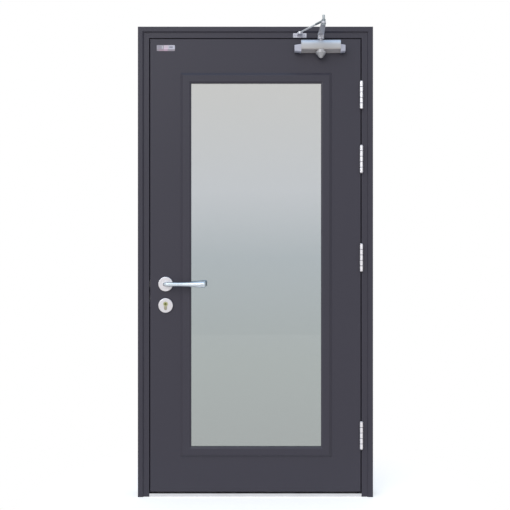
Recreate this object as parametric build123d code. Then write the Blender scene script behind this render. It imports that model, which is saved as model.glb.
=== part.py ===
from build123d import *
import os
from math import cos, radians, sin

# Glazed steel door in its frame, seen from the side it opens towards.
# X runs across the door with the hinges at +X, Y runs into the wall, Z is up.
# The origin is on the floor, half way across the frame and half way through its depth.

# Frame: a folded sheet section, mitred at the head
FRAME_WIDTH = 1100.0
FRAME_HEIGHT = 2200.0
FRAME_DEPTH = 120.0
FRAME_SHEET = 1.5
FRAME_BEND = 2.5
OUTER_BAND = 22.0
STEP_WIDTH = 6.0
STEP_DEPTH = 7.0
INNER_BAND = 25.0
STOP_HEIGHT = 20.0
RETURN_LIP = 18.0
ANCHOR_HOLE_RADIUS = 5.5
JAMB_ANCHOR_COUNT = 4
JAMB_ANCHOR_SPACING = 520.0
JAMB_ANCHOR_LOWEST = 260.0
HEAD_ANCHOR_SPACING = 500.0
OVERCUT = 1.0

# Threshold: a hollow extruded sill with a raised stop
SILL_HEIGHT = 18.0
SILL_NOSE = 15.0
SILL_SLOPE_DEPTH = 10.0
SILL_STOP_HEIGHT = 40.0
SILL_WALL = 2.5
SILL_END_CLEARANCE = 0.2

# Leaf: two sheet skins on edge channels and core boards
LEAF_THICKNESS = 50.0
LEAF_SHEET = 1.0
LEAF_BEND = 2.0
EDGE_GAP = 4.0
SEAL_GAP = 4.0
BOTTOM_GAP = 6.0
CHANNEL_SHEET = 1.5
CHANNEL_FLANGE = 25.0
SEAL_WIDTH = 12.0
SEAL_TAPER = 3.0
SEAL_CLEARANCE = 0.3

# Glazing: one pane held between a welded front frame and four screwed beads
LOCK_STILE = 193.0
HINGE_STILE = 186.0
TOP_RAIL = 209.0
BOTTOM_RAIL = 212.0
GLASS_THICKNESS = 10.0
GLASS_EDGE_COVER = 17.0
GLASS_CHAMFER = 0.8
CUTOUT_COVER = 20.0
BEAD_FACE = 38.0
BEAD_LIP = 13.0
BEAD_RISE = 9.0
BEAD_SHEET = 2.0
BEAD_BEND = 2.6
INNER_BEVEL = 9.0
INNER_BEVEL_DROP = 4.0
BEAD_LEG = 6.0
GLAZING_SEAL = 3.0
GLAZING_SEAL_INSET = 1.5
FOOT_SHORT_OF_GLASS_EDGE = 1.0
BACK_BEAD_SETBACK = 9.0
BACK_BEAD_FACE = 30.0
BACK_BEAD_THICKNESS = 2.0
BEAD_SCREW_PITCH = 330.0
BEAD_SCREW_INSET = 27.0

# Hinges: four butt hinges with five knuckles
LOWEST_HINGE_ABOVE_LEAF_BOTTOM = 265.0
HINGES_BELOW_LEAF_TOP = (1023.0, 563.0, 263.0)
HINGE_LENGTH = 127.0
HINGE_PLATE = 3.0
HINGE_PLATE_DEPTH = 40.0
HINGE_SCREW_COUNT = 4
HINGE_SCREW_INSET = 16.0
HINGE_SCREW_ROWS = (17.0, 29.0)
KNUCKLE_RADIUS = 8.0
KNUCKLE_COUNT = 5
KNUCKLE_GAP = 0.3
KNUCKLE_CLEARANCE = 0.4
KNUCKLE_STAND_OFF = 0.5
KNUCKLE_CHAMFER = 1.0
PIN_RADIUS = 4.5
PIN_CLEARANCE = 0.05
PIN_CAP_RADIUS = 7.4
PIN_CAP_HEIGHT = 2.2
PIN_CAP_ROUND = 1.8
REINFORCEMENT = 4.5
REINFORCEMENT_OVERLAP = 12.0

# Countersunk screws, one size throughout
SCREW_HEAD = 4.5
SCREW_SHANK = 2.4
SCREW_LENGTH = 14.0

# Mortise lock, levers and cylinder
LOCK_AXIS_FROM_EDGE = 73.0
LEVER_HEIGHT = 996.0
ROSE_SPACING = 100.0
CYLINDER_ABOVE_ROSE = 7.0
CASE_THICKNESS = 16.0
CASE_DEPTH = 105.0
CASE_ABOVE_LEVER = 48.0
CASE_BELOW_CYLINDER = 46.0
CASE_CLEARANCE = 0.5
FOREND_WIDTH = 22.0
FOREND_THICKNESS = 3.0
FOREND_OVERHANG = 20.0
LATCH_THICKNESS = 12.0
LATCH_HEIGHT = 30.0
LATCH_THROW = 13.0
LATCH_PROJECTION = 11.5
DEADBOLT_THICKNESS = 14.0
DEADBOLT_HEIGHT = 34.0
DEADBOLT_THROW = 20.0
DEADBOLT_RECESS = 0.5
BOLT_CHAMFER = 1.0
LATCH_NOSE = 2.0
DEADBOLT_ABOVE_CYLINDER = 28.0
BOLT_LENGTH = 45.0
BOLT_CLEARANCE = 0.4
FOLLOWER_RADIUS = 11.0
SPINDLE_SIZE = 8.0
SPINDLE_CLEARANCE = 0.1
ROTATING_CLEARANCE = 0.3
STRIKE_THICKNESS = 2.0
STRIKE_WIDTH = 24.0
STRIKE_MARGIN = 26.0
STRIKE_SCREW_INSET = 12.0
STRIKE_CLEARANCE = 2.0
BOLT_END_CLEARANCE = 7.0
ROSE_RADIUS = 34.0
ROSE_THICKNESS = 9.0
ROSE_EDGE = 2.5
LEVER_STAND_OFF = 48.0
LEVER_NECK_RADIUS = 9.5
LEVER_BEND = 15.0
LEVER_TIP_RADIUS = 15.5
LEVER_TIP_ROUND = 6.5
LEVER_LENGTH = 189.0
LEVER_SWELL = 0.9
LEVER_FLARE_START = 96.0
LEVER_NECK_GAP = 0.5
LEVER_SOCKET = 30.0
CYLINDER_HEAD_RADIUS = 11.0
CYLINDER_LOBE_WIDTH = 13.5
CYLINDER_DROP = 28.0
CYLINDER_PROUD = 1.5
CYLINDER_BORE_RADIUS = 6.5
CAM_WIDTH = 10.0
CAM_REACH = 14.0
CAM_THICKNESS = 5.0
KEY_SLOT_WIDTH = 1.8
KEY_SLOT_HEIGHT = 8.0
KEY_SLOT_DEPTH = 22.0
KEY_SLOT_DROP = 1.0
CAM_END_CLEARANCE = 0.5
THUMBTURN_LENGTH = 22.0
THUMBTURN_WIDTH = 24.0
THUMBTURN_THICKNESS = 8.0
THUMBTURN_ROUND = 5.0
COLLAR_GAP = 0.5
COLLAR_HEIGHT = 4.0

# Door closer with its two-part arm
SPINDLE_FROM_HINGE_EDGE = 188.5
CLOSER_WIDTH = 183.0
CLOSER_DEPTH = 42.0
CLOSER_BELOW_LEAF_TOP = 9.0
CLOSER_HEIGHT = 56.0
CLOSER_FRONT_DROP = 47.0
CLOSER_ROUND = 23.0
CLOSER_LOWER_ROUND = 6.0
CAP_LENGTH_LATCH_SIDE = 31.0
CAP_LENGTH_HINGE_SIDE = 22.0
CAP_HEIGHT = 37.0
CAP_END_HEIGHT = 30.0
CAP_CENTRE_DROP = 40.5
CAP_FRONT_INSET = 4.0
CAP_BACK_INSET = 2.0
CAP_TAPER_DEPTH = 3.0
CAP_CORNER = 5.0
SPINDLE_DEPTH = 26.0
SPINDLE_RADIUS = 8.0
SPINDLE_SQUARE = 9.9
SPINDLE_BOTTOM = 4.0
SPINDLE_SHOULDER = 1.5
SPINDLE_TOP = 2.5
CONE_RADIUS = 24.5
CONE_TIP_RADIUS = 6.5
CONE_HEIGHT = 24.0
CONE_RIM = 5.0
CONE_RIM_GAP = 0.8
CONE_BOSS_RADIUS = 18.0
CONE_ROUND = 4.0
ARM_CLEARANCE = 11.0
ARM_THICKNESS = 8.0
ARM_HUB_WIDTH = 28.0
ARM_ELBOW_WIDTH = 20.0
ARM_HUB_RADIUS = 15.0
ARM_HUB_TOP = 2.0
ARM_HUB_GAP = 2.0
ARM_ELBOW_RADIUS = 10.5
ARM_LENGTH = 200.0
ARM_LEAN = 1.0
ARM_RIB = 5.0
ARM_GROOVE_LENGTH = 145.0
ARM_GROOVE_DEPTH = 2.0
ARM_GROOVE_START = 26.0
FOREARM_RADIUS = 3.7
FOREARM_SLEEVE_RADIUS = 5.0
FOREARM_SLEEVE_LENGTH = 70.0
FOREARM_ELBOW_EYE_RADIUS = 8.5
FOREARM_FOOT_EYE_RADIUS = 9.0
FOREARM_EYE_THICKNESS = 10.0
FOREARM_ROD_IN_SLEEVE = 25.0
FOREARM_SLEEVE_SPARE = 2.0
FOREARM_SEAT_GAP = 0.5
FOOT_EYE_THICKNESS = 7.0
ELBOW_SCREW_RADIUS = 4.0
ELBOW_COLLAR_RADIUS = 5.0
ELBOW_COLLAR_HEIGHT = 4.0
ELBOW_HEAD_RADIUS = 5.9
ELBOW_HEAD_HEIGHT = 15.0
ELBOW_HEAD_GAP = 0.2
ELBOW_HEAD_ROUND = 2.0
ELBOW_NUT_RADIUS = 7.5
ELBOW_NUT_HEIGHT = 6.0
FOOT_FROM_SPINDLE = 97.0
FOOT_WIDTH = 63.0
FOOT_HEIGHT = 21.0
FOOT_PLATE = 3.0
FOOT_CORNER = 3.0
FOOT_REACH = 23.0
FOOT_TONGUE_RADIUS = 11.0
FOOT_TONGUE_THICKNESS = 4.0
FOOT_LUG_WIDTH = 26.0
FOOT_LUG_REACH = 12.0
FOOT_LUG_RIM = 4.5
FOOT_RIM_HEIGHT = 2.0
FOOT_RIM_ROUND = 1.5
FOOT_STUD_RADIUS = 4.0
FOOT_STUD_PROUD = 1.5
FOOT_EYE_CLEARANCE = 0.4
FOOT_SCREW_SPACING = 43.0

# Small plate near the top corner of the leaf
PLATE_WIDTH = 85.0
PLATE_HEIGHT = 27.5
PLATE_THICKNESS = 0.8
PLATE_CORNER = 2.0
PLATE_FROM_EDGE = 31.0
PLATE_FROM_TOP = 28.5

# Planes and edges that the pieces share
FACE_WIDTH = OUTER_BAND + STEP_WIDTH + INNER_BAND
FRAME_FRONT = -FRAME_DEPTH / 2
FRAME_BACK = FRAME_DEPTH / 2
REBATE_X = FRAME_WIDTH / 2 - FACE_WIDTH
REBATE_TOP = FRAME_HEIGHT - FACE_WIDTH
LEAF_FRONT = FRAME_FRONT + STEP_DEPTH
LEAF_BACK = LEAF_FRONT + LEAF_THICKNESS
LEAF_MIDDLE = (LEAF_FRONT + LEAF_BACK) / 2
STOP_FACE = LEAF_BACK + SEAL_GAP
LEAF_X = REBATE_X - EDGE_GAP
LEAF_TOP = REBATE_TOP - EDGE_GAP
LEAF_BOTTOM = SILL_HEIGHT + BOTTOM_GAP
CORE_FRONT = LEAF_FRONT + LEAF_SHEET
CORE_BACK = LEAF_BACK - LEAF_SHEET
DAYLIGHT_X = (-LEAF_X + LOCK_STILE, LEAF_X - HINGE_STILE)
DAYLIGHT_Z = (LEAF_BOTTOM + BOTTOM_RAIL, LEAF_TOP - TOP_RAIL)
BEAD_FRONT = LEAF_FRONT - BEAD_RISE
BEAD_FOOT = BEAD_FRONT + INNER_BEVEL_DROP + BEAD_LEG
GLASS_FRONT = BEAD_FOOT + GLAZING_SEAL
GLASS_BACK = GLASS_FRONT + GLASS_THICKNESS
HINGE_HEIGHTS = [LEAF_BOTTOM + LOWEST_HINGE_ABOVE_LEAF_BOTTOM]
HINGE_HEIGHTS += [LEAF_TOP - drop for drop in HINGES_BELOW_LEAF_TOP]
HINGE_X = (LEAF_X + REBATE_X) / 2
HINGE_Y = LEAF_FRONT - KNUCKLE_RADIUS - KNUCKLE_STAND_OFF
LOCK_X = -LEAF_X + LOCK_AXIS_FROM_EDGE
ROSE_Z = LEVER_HEIGHT - ROSE_SPACING
CYLINDER_Z = ROSE_Z + CYLINDER_ABOVE_ROSE
DEADBOLT_Z = CYLINDER_Z + DEADBOLT_ABOVE_CYLINDER
CASE_Z = (CYLINDER_Z - CASE_BELOW_CYLINDER, LEVER_HEIGHT + CASE_ABOVE_LEVER)
FOREND_Z = (CASE_Z[0] - FOREND_OVERHANG, CASE_Z[1] + FOREND_OVERHANG)
STRIKE_BOX_BACK = -LEAF_X - DEADBOLT_THROW + DEADBOLT_RECESS - BOLT_END_CLEARANCE - FRAME_SHEET
CLOSER_TOP = LEAF_TOP - CLOSER_BELOW_LEAF_TOP
CLOSER_X = LEAF_X - SPINDLE_FROM_HINGE_EDGE
SPINDLE_Y = LEAF_FRONT - SPINDLE_DEPTH
ARM_Z = LEAF_TOP + ARM_CLEARANCE
ELBOW_X = CLOSER_X - ARM_LENGTH * sin(radians(ARM_LEAN))
ELBOW_Y = SPINDLE_Y - ARM_LENGTH * cos(radians(ARM_LEAN))
FOOT_X = CLOSER_X - FOOT_FROM_SPINDLE
FOOT_Y = LEAF_FRONT - FOOT_REACH
FOOT_PLATE_Z = REBATE_TOP + INNER_BAND / 2
FOREARM_Z = ARM_Z + ARM_THICKNESS + FOREARM_SEAT_GAP + FOREARM_EYE_THICKNESS / 2


def span_box(x, y, z):
    """Box between (low, high) pairs along X, Y and Z."""
    sizes = [high - low for low, high in (x, y, z)]
    middle = [(high + low) / 2 for low, high in (x, y, z)]
    return Pos(*middle) * Box(*sizes)


def around(middle, width):
    """The (low, high) pair of a width centred on a point."""
    return (middle - width / 2, middle + width / 2)


def round_bar(start, direction, radius, length):
    """Round bar from a start point along a direction."""
    bar = Cylinder(radius, length, align=(Align.CENTER, Align.CENTER, Align.MIN))
    return Plane(origin=start, z_dir=direction) * bar


def cone_bar(start, direction, radius, end_radius, length):
    """Tapered round bar from a start point along a direction."""
    bar = Cone(radius, end_radius, length, align=(Align.CENTER, Align.CENTER, Align.MIN))
    return Plane(origin=start, z_dir=direction) * bar


def flat_screw(seat, direction, length=SCREW_LENGTH):
    """Countersunk screw whose head lies flush at the seat and whose shank follows the direction."""
    head = cone_bar(seat, direction, SCREW_HEAD, SCREW_SHANK, SCREW_HEAD - SCREW_SHANK)
    return head + round_bar(seat, direction, SCREW_SHANK, length)


def folded_section(points, sheet, bend):
    """Closed outline of a folded sheet whose outside face runs through the points."""
    outside = FilletPolyline(*points, radius=bend)
    return make_face(offset(outside, amount=sheet, side=Side.RIGHT))


def polygon(points):
    """Face inside a closed run of straight edges."""
    return make_face(Polyline(*points, close=True))


def mitred_length(section, across, up, side):
    """One length of a section round an opening, cut at 45 degrees where it meets its neighbours.

    The section's first axis points out of the opening and its second axis is Y.
    """
    half_across = (across[1] - across[0]) / 2
    half_up = (up[1] - up[0]) / 2
    turn = {"top": 0, "right": 90, "bottom": 180, "left": 270}[side]
    half_along, half_out = (half_across, half_up) if turn % 180 == 0 else (half_up, half_across)
    reach = half_along + FACE_WIDTH + FRAME_DEPTH
    plane = Plane(origin=(reach, 0, half_out), x_dir=(0, 0, 1), z_dir=(-1, 0, 0))
    length = extrude(plane * section, amount=2 * reach)
    for way in (-1, 1):
        mitre = Plane(origin=(way * half_along, 0, half_out), z_dir=(-way, 0, 1))
        length = split(length, bisect_by=mitre, keep=Keep.TOP)
    middle = Pos((across[0] + across[1]) / 2, 0, (up[0] + up[1]) / 2)
    return middle * Rot(0, turn, 0) * length


def grown(pair, amount):
    """A (low, high) pair made wider by the same amount at both ends."""
    return (pair[0] - amount, pair[1] + amount)


def save(name, shape):
    """Write one sub-part as a STEP file."""
    export_step(shape, f"parts/{name}.step")


# The frame's folded sections and their holes

def frame_section():
    """Frame profile: return lip, proud outer band, step, inner band, rebate, stop and soffit."""
    points = [
        (FACE_WIDTH, FRAME_FRONT + RETURN_LIP),
        (FACE_WIDTH, FRAME_FRONT),
        (FACE_WIDTH - OUTER_BAND, FRAME_FRONT),
        (INNER_BAND, LEAF_FRONT),
        (0, LEAF_FRONT),
        (0, STOP_FACE),
        (-STOP_HEIGHT, STOP_FACE),
        (-STOP_HEIGHT, FRAME_BACK),
        (FACE_WIDTH, FRAME_BACK),
        (FACE_WIDTH, FRAME_BACK - RETURN_LIP),
    ]
    return folded_section(points, FRAME_SHEET, FRAME_BEND)


ANCHOR_Y = (STOP_FACE + FRAME_BACK) / 2
JAMB_ANCHOR_HEIGHTS = [JAMB_ANCHOR_LOWEST + i * JAMB_ANCHOR_SPACING for i in range(JAMB_ANCHOR_COUNT)]


def jamb(side):
    """One upright of the frame, mitred at the head and square on the floor."""
    rebate = (-REBATE_X, REBATE_X)
    upright = mitred_length(frame_section(), rebate, (-FRAME_HEIGHT, REBATE_TOP), side)
    upright = split(upright, bisect_by=Plane.XY, keep=Keep.TOP)
    way = 1 if side == "right" else -1
    soffit_x = way * (REBATE_X - STOP_HEIGHT)
    for height in JAMB_ANCHOR_HEIGHTS:
        start = (soffit_x - way * FRAME_SHEET, ANCHOR_Y, height)
        upright -= round_bar(start, (way, 0, 0), ANCHOR_HOLE_RADIUS, 4 * FRAME_SHEET)
    return upright


def frame_head():
    """The frame's top member with its two fixing holes and the holes for the closer's foot."""
    head = mitred_length(frame_section(), (-REBATE_X, REBATE_X), (-FRAME_HEIGHT, REBATE_TOP), "top")
    for x in (-HEAD_ANCHOR_SPACING / 2, HEAD_ANCHOR_SPACING / 2):
        start = (x, ANCHOR_Y, REBATE_TOP - STOP_HEIGHT - FRAME_SHEET)
        head -= round_bar(start, (0, 0, 1), ANCHOR_HOLE_RADIUS, 4 * FRAME_SHEET)
    for seat in foot_screw_points():
        head -= flat_screw(seat, (0, 1, 0))
    return head


def frame_hinge_jamb():
    """Hinge jamb with a welded backing plate and a recess behind each hinge."""
    upright = jamb("right")
    for height in HINGE_HEIGHTS:
        plate_x, plate_y, plate_z = frame_plate_span(height)
        backing = span_box(
            (REBATE_X + FRAME_SHEET, REBATE_X + FRAME_SHEET + REINFORCEMENT),
            (LEAF_FRONT + 2 * FRAME_BEND, plate_y[1] + REINFORCEMENT),
            grown(plate_z, REINFORCEMENT_OVERLAP),
        )
        upright = upright + backing - span_box(plate_x, plate_y, plate_z)
        for seat in hinge_screw_points(height, plate_x[0]):
            upright -= flat_screw(seat, (1, 0, 0))
    return upright


def frame_lock_jamb():
    """Lock jamb with the recess and window for the strike."""
    upright = jamb("left")
    plate = strike_span()
    backing = span_box(
        (-REBATE_X - FRAME_SHEET - REINFORCEMENT, -REBATE_X - FRAME_SHEET),
        grown(plate[1], REINFORCEMENT),
        grown(plate[2], REINFORCEMENT_OVERLAP),
    )
    window_x = (STRIKE_BOX_BACK, -REBATE_X)
    upright = upright + backing - span_box(*plate) - span_box(window_x, *strike_box_outline())
    for seat in strike_screw_points():
        upright -= flat_screw(seat, (-1, 0, 0))
    return upright


def threshold():
    """Hollow sill between the jambs, flat on the floor, with a raised stop behind the leaf."""
    stop_y = STOP_FACE
    nose_y = LEAF_FRONT
    outline = [
        (nose_y, 0),
        (nose_y, SILL_NOSE),
        (nose_y + SILL_SLOPE_DEPTH, SILL_HEIGHT),
        (stop_y, SILL_HEIGHT),
        (stop_y, SILL_STOP_HEIGHT),
        (FRAME_BACK, SILL_STOP_HEIGHT),
        (FRAME_BACK, 0),
    ]
    across = Plane(origin=(-REBATE_X + SILL_END_CLEARANCE, 0, 0), x_dir=(0, 1, 0), z_dir=(1, 0, 0))
    length = 2 * (REBATE_X - SILL_END_CLEARANCE)
    sill = extrude(across * polygon(outline), amount=length)
    sill = fillet(sill.edges().filter_by(Axis.X).group_by(Axis.Z)[-1], SILL_WALL)
    low_chamber = span_box(
        (-FRAME_WIDTH, FRAME_WIDTH),
        (nose_y + SILL_SLOPE_DEPTH, stop_y - SILL_WALL),
        (SILL_WALL, SILL_HEIGHT - SILL_WALL),
    )
    high_chamber = span_box(
        (-FRAME_WIDTH, FRAME_WIDTH),
        (stop_y + SILL_WALL, FRAME_BACK - SILL_WALL),
        (SILL_WALL, SILL_STOP_HEIGHT - SILL_WALL),
    )
    sill = sill - low_chamber - high_chamber
    for side in (-1, 1):
        stop_x = sorted((side * (REBATE_X - STOP_HEIGHT - SILL_END_CLEARANCE), side * FRAME_WIDTH))
        bend_x = sorted((side * (REBATE_X - FRAME_BEND), side * FRAME_WIDTH))
        sill -= span_box(stop_x, (stop_y - SILL_END_CLEARANCE, FRAME_WIDTH), (-1, FRAME_WIDTH))
        sill -= span_box(bend_x, (stop_y - FRAME_BEND, FRAME_WIDTH), (-1, FRAME_WIDTH))
    return sill


def frame_seal():
    """Rubber seal round the stop, just clear of the shut leaf."""
    face = LEAF_BACK + SEAL_CLEARANCE
    low, high = around(-STOP_HEIGHT / 2, SEAL_WIDTH)
    outline = [(low, STOP_FACE), (high, STOP_FACE), (high - SEAL_TAPER, face), (low + SEAL_TAPER, face)]
    section = polygon(outline)
    across = (-REBATE_X, REBATE_X)
    up = (SILL_STOP_HEIGHT - STOP_HEIGHT, REBATE_TOP)
    lengths = [mitred_length(section, across, up, side) for side in ("top", "right", "bottom", "left")]
    return lengths[0] + lengths[1] + lengths[2] + lengths[3]


# Hinges

def frame_plate_span(height):
    """Where a hinge's frame plate lies, let into the jamb."""
    return (
        (REBATE_X, REBATE_X + HINGE_PLATE),
        (HINGE_Y, LEAF_FRONT + HINGE_PLATE_DEPTH),
        around(height, HINGE_LENGTH),
    )


def door_plate_span(height):
    """Where a hinge's door plate lies, let into the leaf's edge."""
    return (
        (LEAF_X - HINGE_PLATE, LEAF_X),
        (HINGE_Y, LEAF_FRONT + HINGE_PLATE_DEPTH),
        around(height, HINGE_LENGTH),
    )


def hinge_screw_points(height, x):
    """Seats of the staggered screws in a hinge plate's face, the end ones nearer the knuckles."""
    low = height - HINGE_LENGTH / 2 + HINGE_SCREW_INSET
    pitch = (HINGE_LENGTH - 2 * HINGE_SCREW_INSET) / (HINGE_SCREW_COUNT - 1)
    points = []
    for i in range(HINGE_SCREW_COUNT):
        row = HINGE_SCREW_ROWS[0 if i in (0, HINGE_SCREW_COUNT - 1) else 1]
        points.append((x, LEAF_FRONT + row, low + i * pitch))
    return points


def knuckle_spans(height):
    """The (low, high) heights of the five knuckles of one hinge, from the bottom."""
    pitch = HINGE_LENGTH / KNUCKLE_COUNT
    low = height - HINGE_LENGTH / 2
    half_gap = KNUCKLE_GAP / 2
    return [(low + i * pitch + half_gap, low + (i + 1) * pitch - half_gap) for i in range(KNUCKLE_COUNT)]


def hinge_leaf(height, plate, own_knuckles, way):
    """Half of a butt hinge: a countersunk plate with its knuckles rolled round the pin."""
    leaf = span_box(*plate)
    spans = knuckle_spans(height)
    for i, (low, high) in enumerate(spans):
        if i not in own_knuckles:
            room = KNUCKLE_RADIUS + KNUCKLE_CLEARANCE
            start = (HINGE_X, HINGE_Y, low - KNUCKLE_GAP)
            leaf -= round_bar(start, (0, 0, 1), room, high - low + 2 * KNUCKLE_GAP)
    for i in own_knuckles:
        low, high = spans[i]
        knuckle = round_bar((HINGE_X, HINGE_Y, low), (0, 0, 1), KNUCKLE_RADIUS, high - low)
        leaf += chamfer(knuckle.edges().filter_by(GeomType.CIRCLE), KNUCKLE_CHAMFER)
    bottom = height - HINGE_LENGTH
    leaf -= round_bar((HINGE_X, HINGE_Y, bottom), (0, 0, 1), PIN_RADIUS + PIN_CLEARANCE, 2 * HINGE_LENGTH)
    seat_x = plate[0][0] if way > 0 else plate[0][1]
    for seat in hinge_screw_points(height, seat_x):
        leaf -= flat_screw(seat, (way, 0, 0))
    return leaf


def hinge_screws(x, way):
    """The flat-headed screws of one side of the hinges."""
    screws = []
    for height in HINGE_HEIGHTS:
        for seat in hinge_screw_points(height, x):
            screws.append(flat_screw(seat, (way, 0, 0)))
    return Compound(children=screws)


def hinge_pins():
    """The four hinge pins with their domed caps at both ends."""
    pins = []
    for height in HINGE_HEIGHTS:
        low, high = around(height, HINGE_LENGTH)
        pin = round_bar((HINGE_X, HINGE_Y, low), (0, 0, 1), PIN_RADIUS, HINGE_LENGTH)
        for end, way in ((low, -1), (high, 1)):
            cap = round_bar((HINGE_X, HINGE_Y, end), (0, 0, way), PIN_CAP_RADIUS, PIN_CAP_HEIGHT)
            pin += fillet(cap.edges().group_by(Axis.Z)[0 if way < 0 else -1], PIN_CAP_ROUND)
        pins.append(pin)
    return Compound(children=pins)


# The leaf's shell and core

def leaf_cutout(cover):
    """Box through the leaf round the daylight opening, with the given cover all round."""
    depth = grown((LEAF_FRONT, LEAF_BACK), OVERCUT)
    return span_box(grown(DAYLIGHT_X, cover), depth, grown(DAYLIGHT_Z, cover))


def hinge_pockets():
    """Recesses in the leaf's edge for the door plates of the hinges."""
    pockets = [span_box(*door_plate_span(height)) for height in HINGE_HEIGHTS]
    return pockets[0] + pockets[1] + pockets[2] + pockets[3]


def hinge_blocks():
    """Steel blocks welded behind the hinge plates inside the leaf's edge."""
    blocks = []
    for height in HINGE_HEIGHTS:
        x, y, z = door_plate_span(height)
        blocks.append(
            span_box(
                (x[0] - REINFORCEMENT, LEAF_X - LEAF_SHEET),
                (CORE_FRONT, y[1] + REINFORCEMENT),
                grown(z, REINFORCEMENT_OVERLAP),
            )
        )
    return blocks[0] + blocks[1] + blocks[2] + blocks[3]


def cylinder_profile(clearance):
    """Keyhole-shaped section of the lock cylinder, in the XZ plane."""
    radius = CYLINDER_HEAD_RADIUS + clearance
    half = CYLINDER_LOBE_WIDTH / 2 + clearance
    head = Pos(LOCK_X, CYLINDER_Z) * Circle(radius)
    lobe_middle = Pos(LOCK_X, CYLINDER_Z - CYLINDER_DROP + half - clearance)
    neck = Pos(LOCK_X, CYLINDER_Z - (CYLINDER_DROP - half + clearance) / 2)
    return head + lobe_middle * Circle(half) + neck * Rectangle(2 * half, CYLINDER_DROP - half + clearance)


def along_y(section, front, back):
    """Extrude a section drawn in X and Z from one Y to another."""
    plane = Plane(origin=(0, back, 0), x_dir=(1, 0, 0), z_dir=(0, -1, 0))
    return extrude(plane * section, amount=back - front)


def lock_holes(neck_radius):
    """Holes through the leaf for the lever necks and the cylinder."""
    front, back = grown((LEAF_FRONT, LEAF_BACK), OVERCUT)
    holes = round_bar((LOCK_X, front, LEVER_HEIGHT), (0, 1, 0), neck_radius, back - front)
    return holes + along_y(cylinder_profile(ROTATING_CLEARANCE), front, back)


def forend_recess():
    """Recess in the leaf's lock edge for the lock's forend."""
    return span_box(
        (-LEAF_X - OVERCUT, -LEAF_X + FOREND_THICKNESS),
        around(LEAF_MIDDLE, FOREND_WIDTH),
        FOREND_Z,
    )


def leaf_front_skin():
    """Front tray: face sheet with both edges folded back, a glazing cut-out and welded hinge blocks."""
    points = [
        (LEAF_X, CORE_BACK),
        (LEAF_X, LEAF_FRONT),
        (-LEAF_X, LEAF_FRONT),
        (-LEAF_X, CORE_BACK),
    ]
    section = folded_section(points, LEAF_SHEET, LEAF_BEND)
    tray = extrude(Pos(0, 0, LEAF_BOTTOM) * section, amount=LEAF_TOP - LEAF_BOTTOM)
    tray = tray + hinge_blocks() - hinge_pockets() - leaf_cutout(CUTOUT_COVER) - forend_recess()
    for height in HINGE_HEIGHTS:
        for seat in hinge_screw_points(height, LEAF_X):
            tray -= flat_screw(seat, (-1, 0, 0))
    return tray - lock_holes(LEVER_NECK_RADIUS + ROTATING_CLEARANCE)


def leaf_back_skin():
    """Back face sheet with the same cut-outs."""
    sheet = span_box((-LEAF_X, LEAF_X), (CORE_BACK, LEAF_BACK), (LEAF_BOTTOM, LEAF_TOP))
    sheet = sheet - leaf_cutout(CUTOUT_COVER) - lock_holes(LEVER_NECK_RADIUS + ROTATING_CLEARANCE)
    for seat in bead_screw_points():
        sheet -= flat_screw(seat, (0, -1, 0))
    return sheet


def leaf_channel(edge, way):
    """Folded channel that closes the top or bottom of the leaf."""
    points = [
        (CORE_FRONT, edge - way * CHANNEL_FLANGE),
        (CORE_FRONT, edge),
        (CORE_BACK, edge),
        (CORE_BACK, edge - way * CHANNEL_FLANGE),
    ]
    if way < 0:
        points.reverse()
    section = folded_section(points, CHANNEL_SHEET, LEAF_BEND)
    plane = Plane(origin=(-LEAF_X + LEAF_BEND, 0, 0), x_dir=(0, 1, 0), z_dir=(1, 0, 0))
    return extrude(plane * section, amount=2 * (LEAF_X - LEAF_BEND))


def leaf_core_boards():
    """Two rails and two stiles of core board, cut for the lock, the hinge blocks and the screws."""
    edge = LEAF_X - LEAF_BEND
    depth = (CORE_FRONT, CORE_BACK)
    low, high = LEAF_BOTTOM + CHANNEL_FLANGE, LEAF_TOP - CHANNEL_FLANGE
    opening_x, opening_z = grown(DAYLIGHT_X, CUTOUT_COVER), grown(DAYLIGHT_Z, CUTOUT_COVER)
    bottom_rail = span_box((-edge, edge), depth, (low, opening_z[0]))
    top_rail = span_box((-edge, edge), depth, (opening_z[1], high))
    hinge_stile = span_box((opening_x[1], edge), depth, opening_z)
    lock_stile = span_box((-edge, opening_x[0]), depth, opening_z)
    mortise = span_box(
        (-LEAF_X, -LEAF_X + FOREND_THICKNESS + CASE_DEPTH + CASE_CLEARANCE),
        around(LEAF_MIDDLE, CASE_THICKNESS + 2 * CASE_CLEARANCE),
        grown(CASE_Z, CASE_CLEARANCE),
    )
    lock_stile = lock_stile - mortise - forend_recess() - lock_holes(LEVER_NECK_RADIUS + ROTATING_CLEARANCE)
    blocks = hinge_blocks() + hinge_pockets()
    shafts = [
        flat_screw(seat, (-1, 0, 0))
        for height in HINGE_HEIGHTS
        for seat in hinge_screw_points(height, LEAF_X)
    ]
    boards = []
    for board in (bottom_rail, top_rail, hinge_stile, lock_stile):
        board -= blocks
        for shaft in shafts:
            board -= shaft
        for seat in bead_screw_points():
            board -= flat_screw(seat, (0, -1, 0))
        boards.append(board)
    return Compound(children=boards)


# Glazing

def glass_pane():
    """One thick pane with ground edges."""
    pane = span_box(
        grown(DAYLIGHT_X, GLASS_EDGE_COVER),
        (GLASS_FRONT, GLASS_BACK),
        grown(DAYLIGHT_Z, GLASS_EDGE_COVER),
    )
    return chamfer(pane.edges(), GLASS_CHAMFER)


def four_sides(section):
    """The four mitred lengths of a section round the daylight opening."""
    return [
        mitred_length(section, DAYLIGHT_X, DAYLIGHT_Z, side)
        for side in ("top", "right", "bottom", "left")
    ]


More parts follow.
